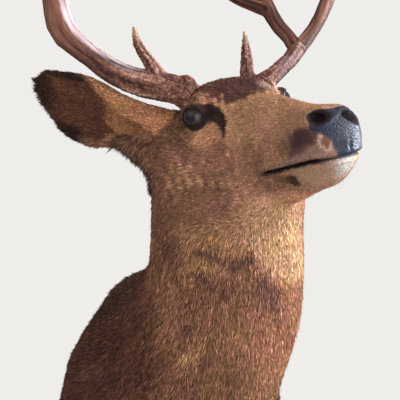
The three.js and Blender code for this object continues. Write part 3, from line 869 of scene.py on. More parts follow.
def toward(colour, name, share):
    return colour + (np.array(tints[name]) - colour) * np.clip(share, 0, 1)[:, None]


def withPatches(colour, points, patches, ragged):
    for patch in patches:
        colour = toward(colour, patch["tint"], patchShare(points, patch, ragged))
    return colour


def coatTint(points, local, at):
    # colour of the hair that grows at each point; at holds what is known of the place
    count = len(points)
    ragged = lumps(points, 7 * mm, 3)
    broad = lumps(points, 45 * mm, 4)
    colour = plain("neck", count)
    edge = readTable(np.degrees(np.abs(np.arctan2(at["turnY"], at["turnX"]))), shoulderEdge)
    # the shoulders are dark-haired, and darker still as painted shade where they turn back from the light
    # towards the wall
    colour = toward(colour, "shoulder", ease(at["share"] - edge + 0.02 * ragged, 0.08, -0.08))
    # painted shade over dark hair at the top of the shoulders behind the neck
    colour = toward(colour, "withersShade", ease(at["height"], 0.35, 0.85) * ease(at["share"], 0.5, 0.35))
    colour = toward(colour, "nape", 0.85 * ease(at["height"] + 0.1 * ragged, 0.45, 0.85))
    colour = toward(colour, "brisket", ease(at["height"], -0.4, -0.85) * ease(at["share"], 0.45, 0.25))
    colour = withPatches(colour, points / mm, bodyPatches, ragged)
    onHead = ease(local[:, 0] - 0.35 * local[:, 2] + 6 * ragged, -50, 10) * ease(local[:, 2], -150, -104)
    bothSides = folded(local)
    face = withPatches(plain("face", count), bothSides, facePatches, ragged)
    face = withPatches(face, local, leftHighlights, ragged)
    away, place = glandDistance(local)
    face = toward(face, "dark", ease(away - readTable(place, faceMarks["gland"]) + 0.8 * ragged, 1.5, -1.5))
    for name in ("right", "left"):
        face = toward(face, "dark", ease(lidReach(local, name) + 0.05 * ragged, *faceMarks["lidRing"]))
    # painted highlight on the left eye's outer rim
    face = withPatches(face, local, leftEyeGlint, ragged)
    # dark lips, and over them a pale band that widens to a worn spot beside the nose pad
    rise = local[:, 2] - mouthHeight(local[:, 0]) + 0.6 * ragged
    span = ease(local[:, 0], 80, 92)
    band = ease(rise, 0.5, 2.5) * ease(rise - readTable(local[:, 0], faceMarks["lipTop"]), 1.5, -1.5) * span
    face = toward(face, "lip", 0.9 * band)
    face = toward(face, "worn", 0.7 * band * ease(local[:, 0], 176, 186) * ease(rise, 3, 6))
    spot = np.linalg.norm((bothSides - faceMarks["spot"]["at"]) / faceMarks["spot"]["reach"], axis=1)
    face = toward(face, "pale", 0.75 * ease(spot + 0.15 * ragged, 1.2, 0.9))
    face = toward(face, "rust", 0.9 * ease(spot + 0.2 * ragged, 0.85, 0.5))
    lips = ease(rise, 1.5, 0) * ease(rise, -5, -2.5) * span * ease(local[:, 0], 192, 176)
    face = toward(face, "lips", lips)
    colour = blend(colour, face, onHead[:, None])
    crown = ease(local[:, 2], 12, 30) * ease(local[:, 0], 10, -30) * (1 - at["ear"])
    colour = toward(colour, "cap", crown)
    # the back of the ears is grey-brown with a black edge; the cup is dark with a pale root
    acrossEar = np.column_stack([at["earSide"] * 22 * mm, at["earAlong"] * 34 * mm, np.zeros(count)])
    streaky = lumps(acrossEar, 5 * mm, 6)
    ear = toward(plain("earBack", count), "earEdge",
                 ease(at["earRim"] + 0.05 * ragged, 0.86, 0.97) * ease(at["earAlong"], 0.45, 0.6))
    edged = np.maximum(ease(at["earRim"] + 0.07 * streaky, 0.5, 0.95), ease(at["earAlong"], 0.8, 0.95))
    ear = blend(ear, toward(plain("earCup", count), "earEdge", edged), at["earInside"][:, None])
    # the pale front part ends in a ragged edge with a dark point in it low down
    reach = readTable(at["earSide"] + 0.05 * streaky, cupEdge) + 0.025 * streaky
    ear = toward(ear, "earPale", ease(at["earAlong"] - reach, 0.04, -0.05) * at["earFront"])
    lower = ease(at["earSide"], 0.72, 0.86) * ease(at["earAlong"], 0.66, 0.56)
    ear = toward(ear, "earBack", 0.8 * lower * at["earFront"])
    ear = toward(ear, "earEdge", ease(at["earAlong"], 0.93, 1.0))
    colour = blend(colour, ear, ease(at["ear"], 0.3, 0.8)[:, None])
    colour = toward(colour, "fringe", 0.9 * fringeShare(local))
    warmth = lumps(points, 22 * mm, 5)[:, None] * np.array([0.0, 0.045, -0.05])
    return colour * (1 + 0.13 * broad + 0.08 * ragged)[:, None] * (1 + warmth)


def bareSkin(local, ragged):
    # the nose pad with the nostrils, from 0 to 1
    pad = (local[:, [0, 2]] - nosePad["start"]) @ nosePad["slope"] + 0.7 * ragged
    pad = pad - nosePad["brim"] * ease(local[:, 2], -28, -24)
    wide = readTable(local[:, 2], nosePad["halfWidth"])
    bare = ease(pad, -2, 1.5) * ease(local[:, 2] - mouthHeight(local[:, 0]), -1, 1)
    bare = bare * ease(wide - np.abs(local[:, 1] - nosePad["middle"]) + 0.7 * ragged, -1.5, 1.5)
    for name in ("right", "left"):
        reach = nostrilReach(local, name)
        bare = np.maximum(bare, ease(reach + 0.04 * ragged, 1.08, 0.95) * ease(local[:, 0], 158, 168))
    return bare


# what is known of each place on the hide
body = onBody(points)
ears = earShares(points)
earShare = np.maximum(ears["right"], ears["left"])
place = {"share": body["share"], "height": body["height"], "ear": earShare,
         "turnX": np.cos(body["turn"]), "turnY": np.sin(body["turn"])}
for key in ("earAlong", "earRim", "earSide", "earInside", "earFront"):
    place[key] = np.zeros(len(points))
earFlow = np.zeros_like(points)
for name in ("right", "left"):
    ear = onEar(points, name)
    mine = (ears[name] > 0.02) & (ears[name] >= earShare - 1e-9)
    arc = np.radians(readTable(ear["share"], earSettings["arc"]))
    inside = ease(-(normals * ear["out"]).sum(1), -0.25, 0.25)
    front = ease(normals @ ear["facing"], -0.3, 0.3)
    values = {
        "earAlong": ear["share"], "earRim": np.abs(ear["turn"]) / arc, "earInside": inside,
        "earSide": -earSettings[name]["side"] * ear["turn"] / arc, "earFront": np.maximum(inside, front),
    }
    for key, value in values.items():
        place[key][mine] = value[mine]
    fan = np.cross(ear["facing"], ear["axis"]) * np.sign(np.sin(ear["turn"]))[:, None]
    flow = ear["axis"] + fan * (0.55 * inside * ease(ear["share"], 0.1, 0.5))[:, None]
    earFlow[mine] = flow[mine]

# the lie of the coat: down the body to the wall, back over the face, out along the ears
bodyFlow = -body["along"] + np.array([0, 0, -0.3])
faceFlow = np.column_stack([-np.ones(len(points)), 0.2 * np.sign(local[:, 1]) * ease(local[:, 2], -10, 20),
                            -0.12 - 0.5 * ease(local[:, 0], 70, 0) * ease(local[:, 2], 10, -60)])
onFace = ease(local[:, 0], -110, -20) * ease(local[:, 2], -165, -115)
flow = unit(bodyFlow) * (1 - onFace[:, None]) + unit(faceFlow) @ headTurn * onFace[:, None]
flow = flow * (1 - earShare[:, None]) + earFlow * earShare[:, None]
flow = flow - normals * (flow * normals).sum(1)[:, None]
for _ in range(6):
    flow = 0.4 * flow + 0.6 * average(edges, flow)
place["flow"] = unit(flow - normals * (flow * normals).sum(1)[:, None])
place["normal"] = normals

ragged = lumps(points, 7 * mm, 3)


bare = bareSkin(local, ragged)
eyeReach = np.minimum(lidReach(local, "right"), lidReach(local, "left"))
lipLine = hump(local[:, 2] - mouthHeight(local[:, 0]), 2.0) * ease(local[:, 0], 78, 90)
lipLine = lipLine * ease(local[:, 2], -125, -110)
pocketShare = ((points[:, 1] > hide["pocket"]["deep"]) & (outline < 0.955)) | (points[:, 1] > -5 * mm)

# hair: length, width and lift by region, in millimetres and degrees
coat = {
    "muzzle": (2.8, 0.75, 9), "face": (5.0, 0.85, 10), "cap": (8.5, 1.1, 16), "cheek": (8.0, 1.1, 13),
    "jaw": (6.0, 0.9, 12), "throat": (9.5, 1.2, 15), "neck": (10.5, 1.2, 17), "nape": (18, 1.7, 20),
    "shoulder": (14.5, 1.6, 15), "earBack": (7.0, 1.1, 12), "earCup": (8.0, 1.1, 14),
    "earRim": (9.0, 1.2, 22),
}


def coatAt(column):
    pick = {name: values[column] for name, values in coat.items()}
    made = blend(pick["neck"], pick["shoulder"], ease(place["share"], 0.5, 0.3))
    made = blend(made, pick["nape"], ease(place["height"], 0.5, 0.9))
    made = blend(made, pick["throat"], ease(place["share"], 0.7, 0.85) * ease(place["height"], 0, -0.5))
    head = blend(pick["cheek"], pick["face"], ease(local[:, 0], -10, 50))
    head = blend(head, pick["jaw"], ease(local[:, 2], -70, -90) * ease(local[:, 0], 20, 60))
    head = blend(head, pick["cap"], ease(local[:, 2], 14, 28) * ease(local[:, 0], 50, 20))
    head = blend(head, pick["muzzle"], ease(local[:, 0], 110, 165))
    head = blend(head, pick["muzzle"], ease(eyeReach, 2.2, 1.4))
    made = blend(made, head, ease(local[:, 0], -90, -25) * ease(local[:, 2], -150, -110))
    ear = blend(pick["earBack"], pick["earCup"], place["earInside"])
    ear = blend(ear, pick["earRim"], ease(place["earRim"], 0.85, 0.95) * ease(place["earAlong"], 0.25, 0.45))
    return blend(made, ear, earShare)


place["length"] = coatAt(0) * mm
place["width"] = coatAt(1) * mm
place["lift"] = np.radians(coatAt(2))
near = fringeShare(local)
place["length"] = blend(place["length"], fringe["long"] * mm, near)
place["lift"] = blend(place["lift"], math.radians(fringe["lift"]), near)
covered = (1 - bare) * (1 - ease(lipLine, 0.25, 0.5)) * ease(eyeReach, 1.1, 1.2) * ~pocketShare
place["covered"] = covered

skinTint = coatTint(points, local, place) * hide["shade"] * (1 - 0.85 * lipLine[:, None])
nostrilReaches = np.minimum(nostrilReach(local, "right"), nostrilReach(local, "left"))
for name, share in (("nose", bare), ("nostril", ease(nostrilReaches, 1.12, 0.95)),
                    ("black", ease(nostrilReaches, 0.8, 0.5)), ("black", ease(eyeReach, 1.3, 1.2))):
    skinTint = toward(skinTint, name, share)
# the same painted highlight on the bare skin of the left eye's rim
for patch in leftEyeGlint:
    rim = patchShare(local, patch, ragged) * ease(eyeReach, 1.0, 1.1)
    skinTint = toward(skinTint, patch["tint"], rim)
putAttribute(skin.data, "tint", "FLOAT_COLOR", np.clip(skinTint, 0, 1))
putAttribute(skin.data, "bare", "FLOAT", bare)
putAttribute(skin.data, "wet", "FLOAT", bare * ease(nostrilReaches, 0.8, 1.1))
print("hide marked")

# patch is half a tuft's width on the unwrapped coat; the rest is how much neighbours differ
tuftLook = {"patch": 0.0015, "swirl": 0.2, "stray": 0.16, "roll": 0.3, "lift": 0.45, "tone": 0.45}

skin.data.calc_loop_triangles()
triangles = readRows(skin.data.loop_triangles, "vertices", 3, np.int32)
triangleArea = np.linalg.norm(np.cross(points[triangles[:, 1]] - points[triangles[:, 0]],
                                       points[triangles[:, 2]] - points[triangles[:, 0]]), axis=1) / 2


def seedRoots(weights, count, seed):
    # places spread over the hide by weight, and the values of the hide there
    rng = np.random.default_rng(seed)
    chance = triangleArea * weights[triangles].mean(1)
    face = rng.choice(len(triangles), count, p=chance / chance.sum())
    first, second = rng.random(count), rng.random(count)
    over = first + second > 1
    first[over], second[over] = 1 - first[over], 1 - second[over]
    shares = np.column_stack([1 - first - second, first, second])
    found = {}
    for key, values in {**place, "point": points}.items():
        shaped = values[triangles[face]]
        found[key] = (shaped * (shares if values.ndim == 1 else shares[:, :, None])).sum(1)
    keep = found["covered"] > rng.random(count) * 0.9 + 0.05
    return {key: values[keep] for key, values in found.items()}


def tuftMesh(name, roots, colour, unwrapped, seed):
    # each tuft is a closed four-sided lock: two corners at the root, a raised middle and a tip
    rng = np.random.default_rng(seed)
    count = len(roots["point"])
    normal = unit(roots["normal"])
    swirl = tuftLook["swirl"] * lumps(roots["point"], 16 * mm, seed + 1)
    swirl += tuftLook["stray"] * rng.normal(size=count)
    flow = unit(roots["flow"] - normal * (roots["flow"] * normal).sum(1)[:, None])
    across = np.cross(normal, flow)
    flow = flow * np.cos(swirl)[:, None] + across * np.sin(swirl)[:, None]
    across = np.cross(normal, flow)
    roll = rng.normal(size=count) * tuftLook["roll"]
    side = across * np.cos(roll)[:, None] + normal * np.sin(roll)[:, None]
    length = roots["length"] * rng.uniform(0.7, 1.25, count)
    width = roots["width"] * rng.uniform(0.7, 1.2, count)
    lift = roots["lift"] * np.clip(1 + tuftLook["lift"] * rng.normal(size=count), 0.25, 2.6)
    base = roots["point"] - normal * (0.3 * mm)
    middle = base + flow * (0.45 * length * np.cos(lift))[:, None]
    middle += normal * (0.45 * length * np.sin(lift) + 0.34 * width)[:, None]
    tip = base + flow * (length * np.cos(lift))[:, None]
    tip += normal * (0.8 * length * np.sin(lift))[:, None]
    half = side * width[:, None] / 2
    corners = np.stack([base - half, base + half, middle, tip], 1)
    corners[:, :, 1] = np.minimum(corners[:, :, 1], -0.6 * mm)
    faces = np.array([[0, 1, 2], [0, 2, 3], [1, 3, 2], [0, 3, 1]])
    index = (np.arange(count)[:, None, None] * 4 + faces).reshape(-1)
    mesh = bpy.data.meshes.new(name)
    mesh.vertices.add(count * 4)
    mesh.loops.add(count * 12)
    mesh.polygons.add(count * 4)
    mesh.vertices.foreach_set("co", corners.astype(np.float32).ravel())
    mesh.loops.foreach_set("vertex_index", index.astype(np.int32))
    mesh.polygons.foreach_set("loop_start", np.arange(0, count * 12, 3, dtype=np.int32))
    mesh.update(calc_edges=True)
    clumps = 0.22 * ease(roots["length"], 4 * mm, 12 * mm) * lumps(roots["point"], 3 * mm, seed + 2)
    tone = np.exp(tuftLook["tone"] * rng.normal(size=count) + clumps - 0.05)
    tinted = np.repeat(np.clip(colour * tone[:, None], 0, 1), 4, axis=0)
    putAttribute(mesh, "tint", "FLOAT_COLOR", tinted)
    putAttribute(mesh, "along", "FLOAT", np.tile([0.0, 0.0, 0.45, 1.0], count))
    spread = np.array([[-1, -1], [1, -1], [0, 0], [0, 1]]) * tuftLook["patch"]
    placed = (unwrapped[:, None, :] + spread).reshape(-1, 2)[index]
    layer = mesh.uv_layers.new(name="OFBake")
    layer.uv.foreach_set("vector", placed.astype(np.float32).ravel())
    return mesh


def fitted(values):
    # moved and scaled into the unwrapped square
    return 0.01 + 0.98 * (values - values.min(0)) / np.maximum(np.ptp(values, axis=0), 1e-9)


# bands are the shades along a hair, from its root to its tip
furLook = {
    "roughness": 0.85, "specular": 0.12,
    "bands": [(0.0, (0.30, 0.28, 0.28)), (0.38, (0.65, 0.63, 0.62)), (0.6, (1.25, 1.22, 1.16)),
              (0.8, (1.55, 1.5, 1.4)), (1.0, (0.95, 0.90, 0.86))],
}
furMaterial, tree, shader = newMaterial("fur")
banded = ramp(tree, stored(tree, "along"), furLook["bands"])
wire(shader, {
    "Base Color": mixed(tree, 1.0, stored(tree, "tint", "Color"), banded, "MULTIPLY"),
    "Roughness": furLook["roughness"], "Specular IOR Level": furLook["specular"],
})


def addCoat(name, roots, unwrapped, seed):
    colour = coatTint(roots["point"], toHead(roots["point"]), roots)
    mesh = tuftMesh(name, roots, colour, fitted(unwrapped), seed)
    piece = addPiece(name, mesh)
    mesh.materials.append(furMaterial)
    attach(piece, "root")
    print(name, len(roots["point"]), "tufts")


def only(roots, chosen):
    return {key: values[chosen] for key, values in roots.items()}


coats = {
    "face": {"count": 96000, "slot": "face_hide", "parts": 2},
    "neck": {"count": 118000, "slot": "neck_hide", "parts": 3},
    "shoulders": {"count": 84000, "slot": "body_hide", "parts": 2},
    "earRight": {"count": 34000, "slot": "ear_hide", "parts": 1},
    "earLeft": {"count": 30000, "slot": "ear_hide", "parts": 1},
}
offEars = earShare <= 0.5
onHead = ease(local[:, 0] - 0.1 * local[:, 2], -50, -40) * offEars * (local[:, 2] > -135)
onShoulders = ease(place["share"], 0.43, 0.42) * (1 - onHead) * offEars
weights = {
    "face": onHead * blend(1.0, 0.6, ease(local[:, 0], 20, -40)),
    "neck": (1 - onHead) * (1 - onShoulders) * offEars,
    "shoulders": onShoulders,
    "earRight": ears["right"] > 0.5,
    "earLeft": ears["left"] > 0.5,
}
density = 1.0
for number, (name, settings) in enumerate(coats.items()):
    roots = seedRoots(weights[name] * (covered > 0.05), int(settings["count"] * density), 20 + number)
    rootLocal = toHead(roots["point"])
    if name == "face":
        turn = np.arctan2(rootLocal[:, 1], rootLocal[:, 2] + 45)
        flat = np.column_stack([turn, rootLocal[:, 0]])
    elif name.startswith("ear"):
        ear = onEar(roots["point"], "right" if name == "earRight" else "left")
        flat = np.column_stack([ear["turn"] + 7 * (roots["earInside"] > 0.5), ear["share"]])
    else:
        flat = np.column_stack([np.arctan2(roots["turnY"], roots["turnX"]), roots["share"]])
        flat[:, 1] += 0.004 * np.random.default_rng(number).normal(size=len(flat))
    cuts = np.quantile(flat[:, 0], np.linspace(0, 1, settings["parts"] + 1))
    for part in range(settings["parts"]):
        chosen = (flat[:, 0] >= cuts[part]) & (flat[:, 0] <= cuts[part + 1])
        title = "coat_" + name + ("_%d" % (part + 1) if settings["parts"] > 1 else "")
        addCoat(title, only(roots, chosen), flat[chosen], 100 + 10 * number + part)


hideLook = {"roughness": 0.85, "specular": 0.2, "dull": 0.05, "pebbles": 720, "grain": 900, "nose": 0.38,
            "bump": 0.9, "deep": 0.0008}
material, tree, shader = newMaterial("hide")
coords = addNode(tree, "TexCoord").outputs["Object"]
pebbles = addNode(tree, "TexVoronoi", {"Vector": coords, "Scale": hideLook["pebbles"]}, feature="SMOOTH_F1")
grain = addNode(tree, "TexNoise", {"Vector": coords, "Scale": hideLook["grain"]})
height = addNode(tree, "Mix", {"Factor": stored(tree, "bare"), "A": grain.outputs["Fac"],
                               "B": pebbles.outputs["Distance"]}).outputs["Result"]
wet = stored(tree, "wet")
wire(shader, {
    "Base Color": stored(tree, "tint", "Color"),
    "Roughness": ranged(tree, wet, low=hideLook["roughness"], high=hideLook["nose"]),
    "Specular IOR Level": ranged(tree, wet, low=hideLook["dull"], high=hideLook["specular"]),
    "Normal": bumped(tree, height, hideLook, invert=True),
})
skin.data.materials.append(material)
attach(skin, "root")
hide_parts(*fleshNodes)

eyeLook = {
    "segments": 48, "rings": 28, "cornea": 0.9, "gap": 0.5,
    "roughness": 0.24, "specular": 0.13,
    "oval": 1.55, "iris": (5.5, 16.0),  # how much longer than high, and from where to where in mm
    # dark iris and pupil, with a faint bluish tint in the middle painted in as the reflection of the light
    "bands": [(0, (0.006, 0.006, 0.011)), (0.12, (0.014, 0.010, 0.014)), (0.5, (0.017, 0.010, 0.010)),
              (1, (0.010, 0.006, 0.006))],
}


def makeEye(name):
    centre, fore, _, out = eyeFrame(name)
    work = bmesh.new()
    bmesh.ops.create_uvsphere(work, u_segments=eyeLook["segments"], v_segments=eyeLook["rings"],
                              radius=eyeSettings["radius"] - eyeLook["gap"])
    mesh = bpy.data.meshes.new("eye_ball_" + name)
    work.to_mesh(mesh)
    work.free()
    ball = verticesOf(mesh)
    front = ease(ball[:, 2] / eyeSettings["radius"], 0.62, 1.0)
    ball = ball * (1 + eyeLook["cornea"] * front / eyeSettings["radius"])[:, None]
    putAttribute(mesh, "eyeAt", "FLOAT_VECTOR", ball)
    side = np.cross(out, fore)
    placed = centre + ball[:, :1] * fore + ball[:, 1:2] * side + ball[:, 2:] * out
    setVertices(mesh, fromHead(placed))
    shadeSmooth(mesh)
    return addPiece("eye_ball_" + name, mesh)


eyeMaterial, tree, shader = newMaterial("eye")
parts = addNode(tree, "SeparateXYZ", {"Vector": stored(tree, "eyeAt", "Vector")}).outputs
# distance from the middle of the eye, squeezed so that the pupil is a level oval
narrow = addNode(tree, "Math", {0: parts["Y"], 1: eyeLook["oval"]}, operation="MULTIPLY").outputs["Value"]
oval = addNode(tree, "CombineXYZ", {"X": parts["X"], "Y": narrow}).outputs["Vector"]
away = addNode(tree, "VectorMath", {0: oval}, operation="LENGTH").outputs["Value"]
iris = ranged(tree, away, fromLow=eyeLook["iris"][0], fromHigh=eyeLook["iris"][1])
wire(shader, {"Base Color": ramp(tree, iris, eyeLook["bands"]), "Roughness": eyeLook["roughness"],
              "Specular IOR Level": eyeLook["specular"]})
for name in ("right", "left"):
    ball = makeEye(name)
    ball.data.materials.append(eyeMaterial)
    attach(ball, "root")
    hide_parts("eye_" + name)
print("eyes set")

lashLook = {"count": 46, "long": (3.5, 6.5), "thick": 0.26, "right": 1.0, "left": 0.5}
whiskerLook = {"count": 22, "long": (5, 10), "thick": 0.13}
strandLook = {"bend": 0.35, "taper": 0.85, "rings": (0.0, 0.3, 0.6, 0.85)}


def hairStrands(name, roots, ways, bends, lengths, thick):
    # thin tapered three-sided hairs, each of four rings and a tip
    work = bmesh.new()
    for root, way, bend, length in zip(roots, ways, bends, lengths):
        rings = []
        side = unit(np.cross(way, bend))
        for step in strandLook["rings"]:
            middle = root + way * length * step + bend * length * strandLook["bend"] * step**2
            size = thick * (1 - strandLook["taper"] * step)
            rings.append([work.verts.new(fromHead(middle + size * (
                side * math.cos(turn) + unit(bend) * math.sin(turn)))) for turn in (0.3, 2.4, 4.5)])
        tip = work.verts.new(fromHead(root + way * length + bend * length * strandLook["bend"]))
        for low, high in zip(rings, rings[1:]):
            for a, b in ((0, 1), (1, 2), (2, 0)):
                work.faces.new((low[a], low[b], high[b], high[a]))
        for a, b in ((0, 1), (1, 2), (2, 0)):
            work.faces.new((rings[-1][a], rings[-1][b], tip))
        work.faces.new(rings[0][::-1])
    bmesh.ops.recalc_face_normals(work, faces=work.faces)
    mesh = bpy.data.meshes.new(name)
    work.to_mesh(mesh)
    work.free()
    return addPiece(name, mesh)


rng = np.random.default_rng(61)
roots, ways, bends, lengths = [], [], [], []
for name in ("right", "left"):
    centre, fore, up, out = eyeFrame(name)
    for number in range(lashLook["count"]):
        turn = math.radians(18 + 150 * (number + rng.random()) / lashLook["count"])
        rim = fore * math.cos(turn) * eyeSettings["long"] + up * math.sin(turn) * eyeSettings["high"]
        lift = math.sqrt(max(eyeSettings["radius"] ** 2 - rim @ rim, 9))
        roots.append(centre + (rim * 1.04 + out * lift))
        ways.append(unit(out * 0.9 + unit(rim) * 0.55 + rng.normal(size=3) * 0.08))
        bends.append(up * 0.5 - out * 0.3 + rng.normal(size=3) * 0.1)
        lengths.append(rng.uniform(*lashLook["long"]) * (0.6 + 0.4 * math.sin(turn)) * lashLook[name])
lashes = hairStrands("lashes", roots, ways, bends, lengths, lashLook["thick"])
skinTree = BVHTree.FromObject(skin, bpy.context.evaluated_depsgraph_get())
roots, ways, bends, lengths = [], [], [], []
for number in range(whiskerLook["count"]):
    side = 1 if number % 2 else -1
    if number % 3 == 0:
        aimed = (rng.uniform(150, 188), side * rng.uniform(4, 22), -120)
    else:
        aimed = (rng.uniform(150, 186), side * 30, rng.uniform(-68, -52))
    spot, way, _, _ = skinTree.find_nearest(Vector(fromHead(aimed)))
    roots.append(toHead(np.array(spot)))
    way = headTurn @ np.array(way)
    ways.append(unit(way + np.array([-0.6, 0, -0.25]) + rng.normal(size=3) * 0.15))
    bends.append(np.array([-0.5, 0, -0.5]) + rng.normal(size=3) * 0.1)
    lengths.append(rng.uniform(*whiskerLook["long"]))
whiskers = hairStrands("whiskers", roots, ways, bends, lengths, whiskerLook["thick"])
material, tree, shader = newMaterial("dark_hair")
wire(shader, {"Base Color": (0.016, 0.012, 0.011, 1), "Roughness": 0.5})
for piece in (lashes, whiskers):
    piece.data.materials.append(material)
    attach(piece, "root")
print("lashes and whiskers placed")

# middle lines with radii in the head's frame, in millimetres
antlerLines = {
    "right": [
        [(-38, -30, 4, 21), (-47, -61, 37, 18), (-62, -96, 54, 18.5), (-71, -118, 66, 16.5),
         (-80, -137, 82, 15.5), (-88, -158, 107, 13.5), (-95, -178, 136, 15.5), (-103, -180, 182, 16.5),
         (-100, -176, 222, 16)],
        [(-55, -81, 56, 11.5), (-53, -90, 78, 7.5), (-52, -98, 93, 6), (-50, -103, 106, 5),
         (-47, -104, 125, 1.5)],
        [(-101, -178, 212, 15.5), (-92, -178, 246, 13), (-62, -182, 284, 11), (-22, -172, 326, 8),
         (-2, -158, 372, 2.5)],
        [(-62, -182, 280, 9), (-66, -196, 316, 8), (-54, -200, 356, 6), (-40, -196, 392, 2.5)],
        [(-101, -178, 208, 14), (-118, -168, 248, 12), (-132, -160, 296, 10), (-130, -148, 352, 8),
         (-118, -138, 402, 2.5)],
        [(-130, -160, 286, 9), (-152, -170, 318, 8), (-162, -174, 356, 6), (-160, -170, 388, 2.5)],
    ],
    "left": [
        [(-38, 30, 4, 18), (-43, 52, 24, 16.5), (-48, 73, 33, 12.5), (-54, 93, 42, 11.5),
         (-61, 112, 51, 11), (-67, 129, 60, 11.5), (-72, 144, 72, 12.5)],
        [(-46, 38, 30, 11.5), (-43, 39, 50, 9.5), (-40, 41, 69, 7.5), (-38, 42, 85, 4.5),
         (-36, 43, 100, 1.5)],
        [(-71, 143, 70, 12), (-76, 169, 87, 10.5), (-80, 191, 105, 10), (-82, 210, 126, 10.5),
         (-83, 227, 150, 11.5), (-66, 246, 214, 11), (-30, 244, 258, 8), (14, 226, 292, 2.5)],
        [(-68, 245, 208, 9), (-74, 262, 246, 8), (-62, 268, 288, 6), (-44, 262, 324, 2.5)],
        [(-72, 142, 72, 11.5), (-81, 140, 89, 10.5), (-87, 136, 100, 10.5), (-94, 131, 115, 11),
         (-101, 128, 135, 11), (-106, 126, 156, 11), (-113, 130, 206, 10), (-108, 134, 254, 8),
         (-92, 138, 298, 2.5)],
        [(-103, 127, 138, 11), (-113, 109, 152, 10), (-125, 89, 168, 9), (-135, 64, 195, 7),
         (-136, 52, 236, 2.5)],
    ],
}
burrs = {"right": ((-46, -56, 35), (-0.25, -0.9, 0.35)), "left": ((-42, 49, 23), (-0.25, 0.9, 0.35))}
# painted highlight: paler colour on the side of the beams that faces this way, where the light falls on them
sheenSide = {"way": (0.3, 0.8, 0.55), "edge": (0.3, 0.72), "run": (50, 150), "share": 0.45}
# fuller bone on the outer side of the right beam's bend, which is the side against this way
swell = {"at": (-94, -176, 140), "reach": (60, 60, 42), "way": (0.38, 0.90, -0.20), "out": 6.0}
antlerLook = {
    "voxel": 1.25 * mm, "ridge": 1.0, "pearls": {"right": 2200, "left": 1000}, "smooth": 9,
    "roughness": 0.55, "specular": 0.09, "streaks": 0.55, "bump": 0.8, "deep": 0.0006,
    "groove": [(0.1, (0.020, 0.008, 0.007)), (0.42, (0.074, 0.032, 0.024)), (0.62, (0.115, 0.056, 0.042)),
               (0.95, (0.29, 0.19, 0.165))],
    "tone": [(0.3, (0.66, 0.62, 0.6)), (0.7, (1.2, 1.16, 1.12))],
    "paintedSheen": (0.42, 0.35, 0.385, 1), "tip": (0.42, 0.29, 0.20, 1),
}


def alongAntler(local, lines):
    # for each place: its line, run from the base in mm, share to the tip, unit offsets round the line
    best = np.full(len(local), 1e9)
    found = {"run": np.zeros(len(local)), "tip": np.zeros(len(local)), "round": np.zeros((len(local), 2)),
             "line": np.zeros(len(local), int)}
    for number, line in enumerate(lines):
        curve = smoothLine(line, 40)
        middle, radii = curve[:, :3], curve[:, 3]
        steps = np.linalg.norm(np.diff(middle, axis=0), axis=1)
        run = np.concatenate([[0], np.cumsum(steps)])
        tangent = unit(np.gradient(middle, axis=0))
        side = unit(np.cross(tangent[0], (0.3, 0.2, 0.9)))
        sides = []
        for way in tangent:
            side = unit(side - way * (side @ way))
            sides.append(side)
        sides = np.array(sides)
        near = np.linalg.norm(local[:, None, :] - middle[None], axis=2).argmin(1)
        offset = local - middle[near]
        past = (offset * tangent[near]).sum(1)
        offset = offset - past[:, None] * tangent[near]
        gap = np.linalg.norm(offset, axis=1) - radii[near] + 0.5 * np.abs(past)
        offset = unit(offset)
        mine = gap < best
        best[mine] = gap[mine]
        found["run"][mine] = (run[near] + past)[mine]
        found["tip"][mine] = np.clip((run[near] + past) / run[-1], 0, 1)[mine]
        found["line"][mine] = number
        turned = np.column_stack([(offset * sides[near]).sum(1),
                                  (offset * np.cross(tangent[near], sides[near])).sum(1)])
        found["round"][mine] = turned[mine]
    return found


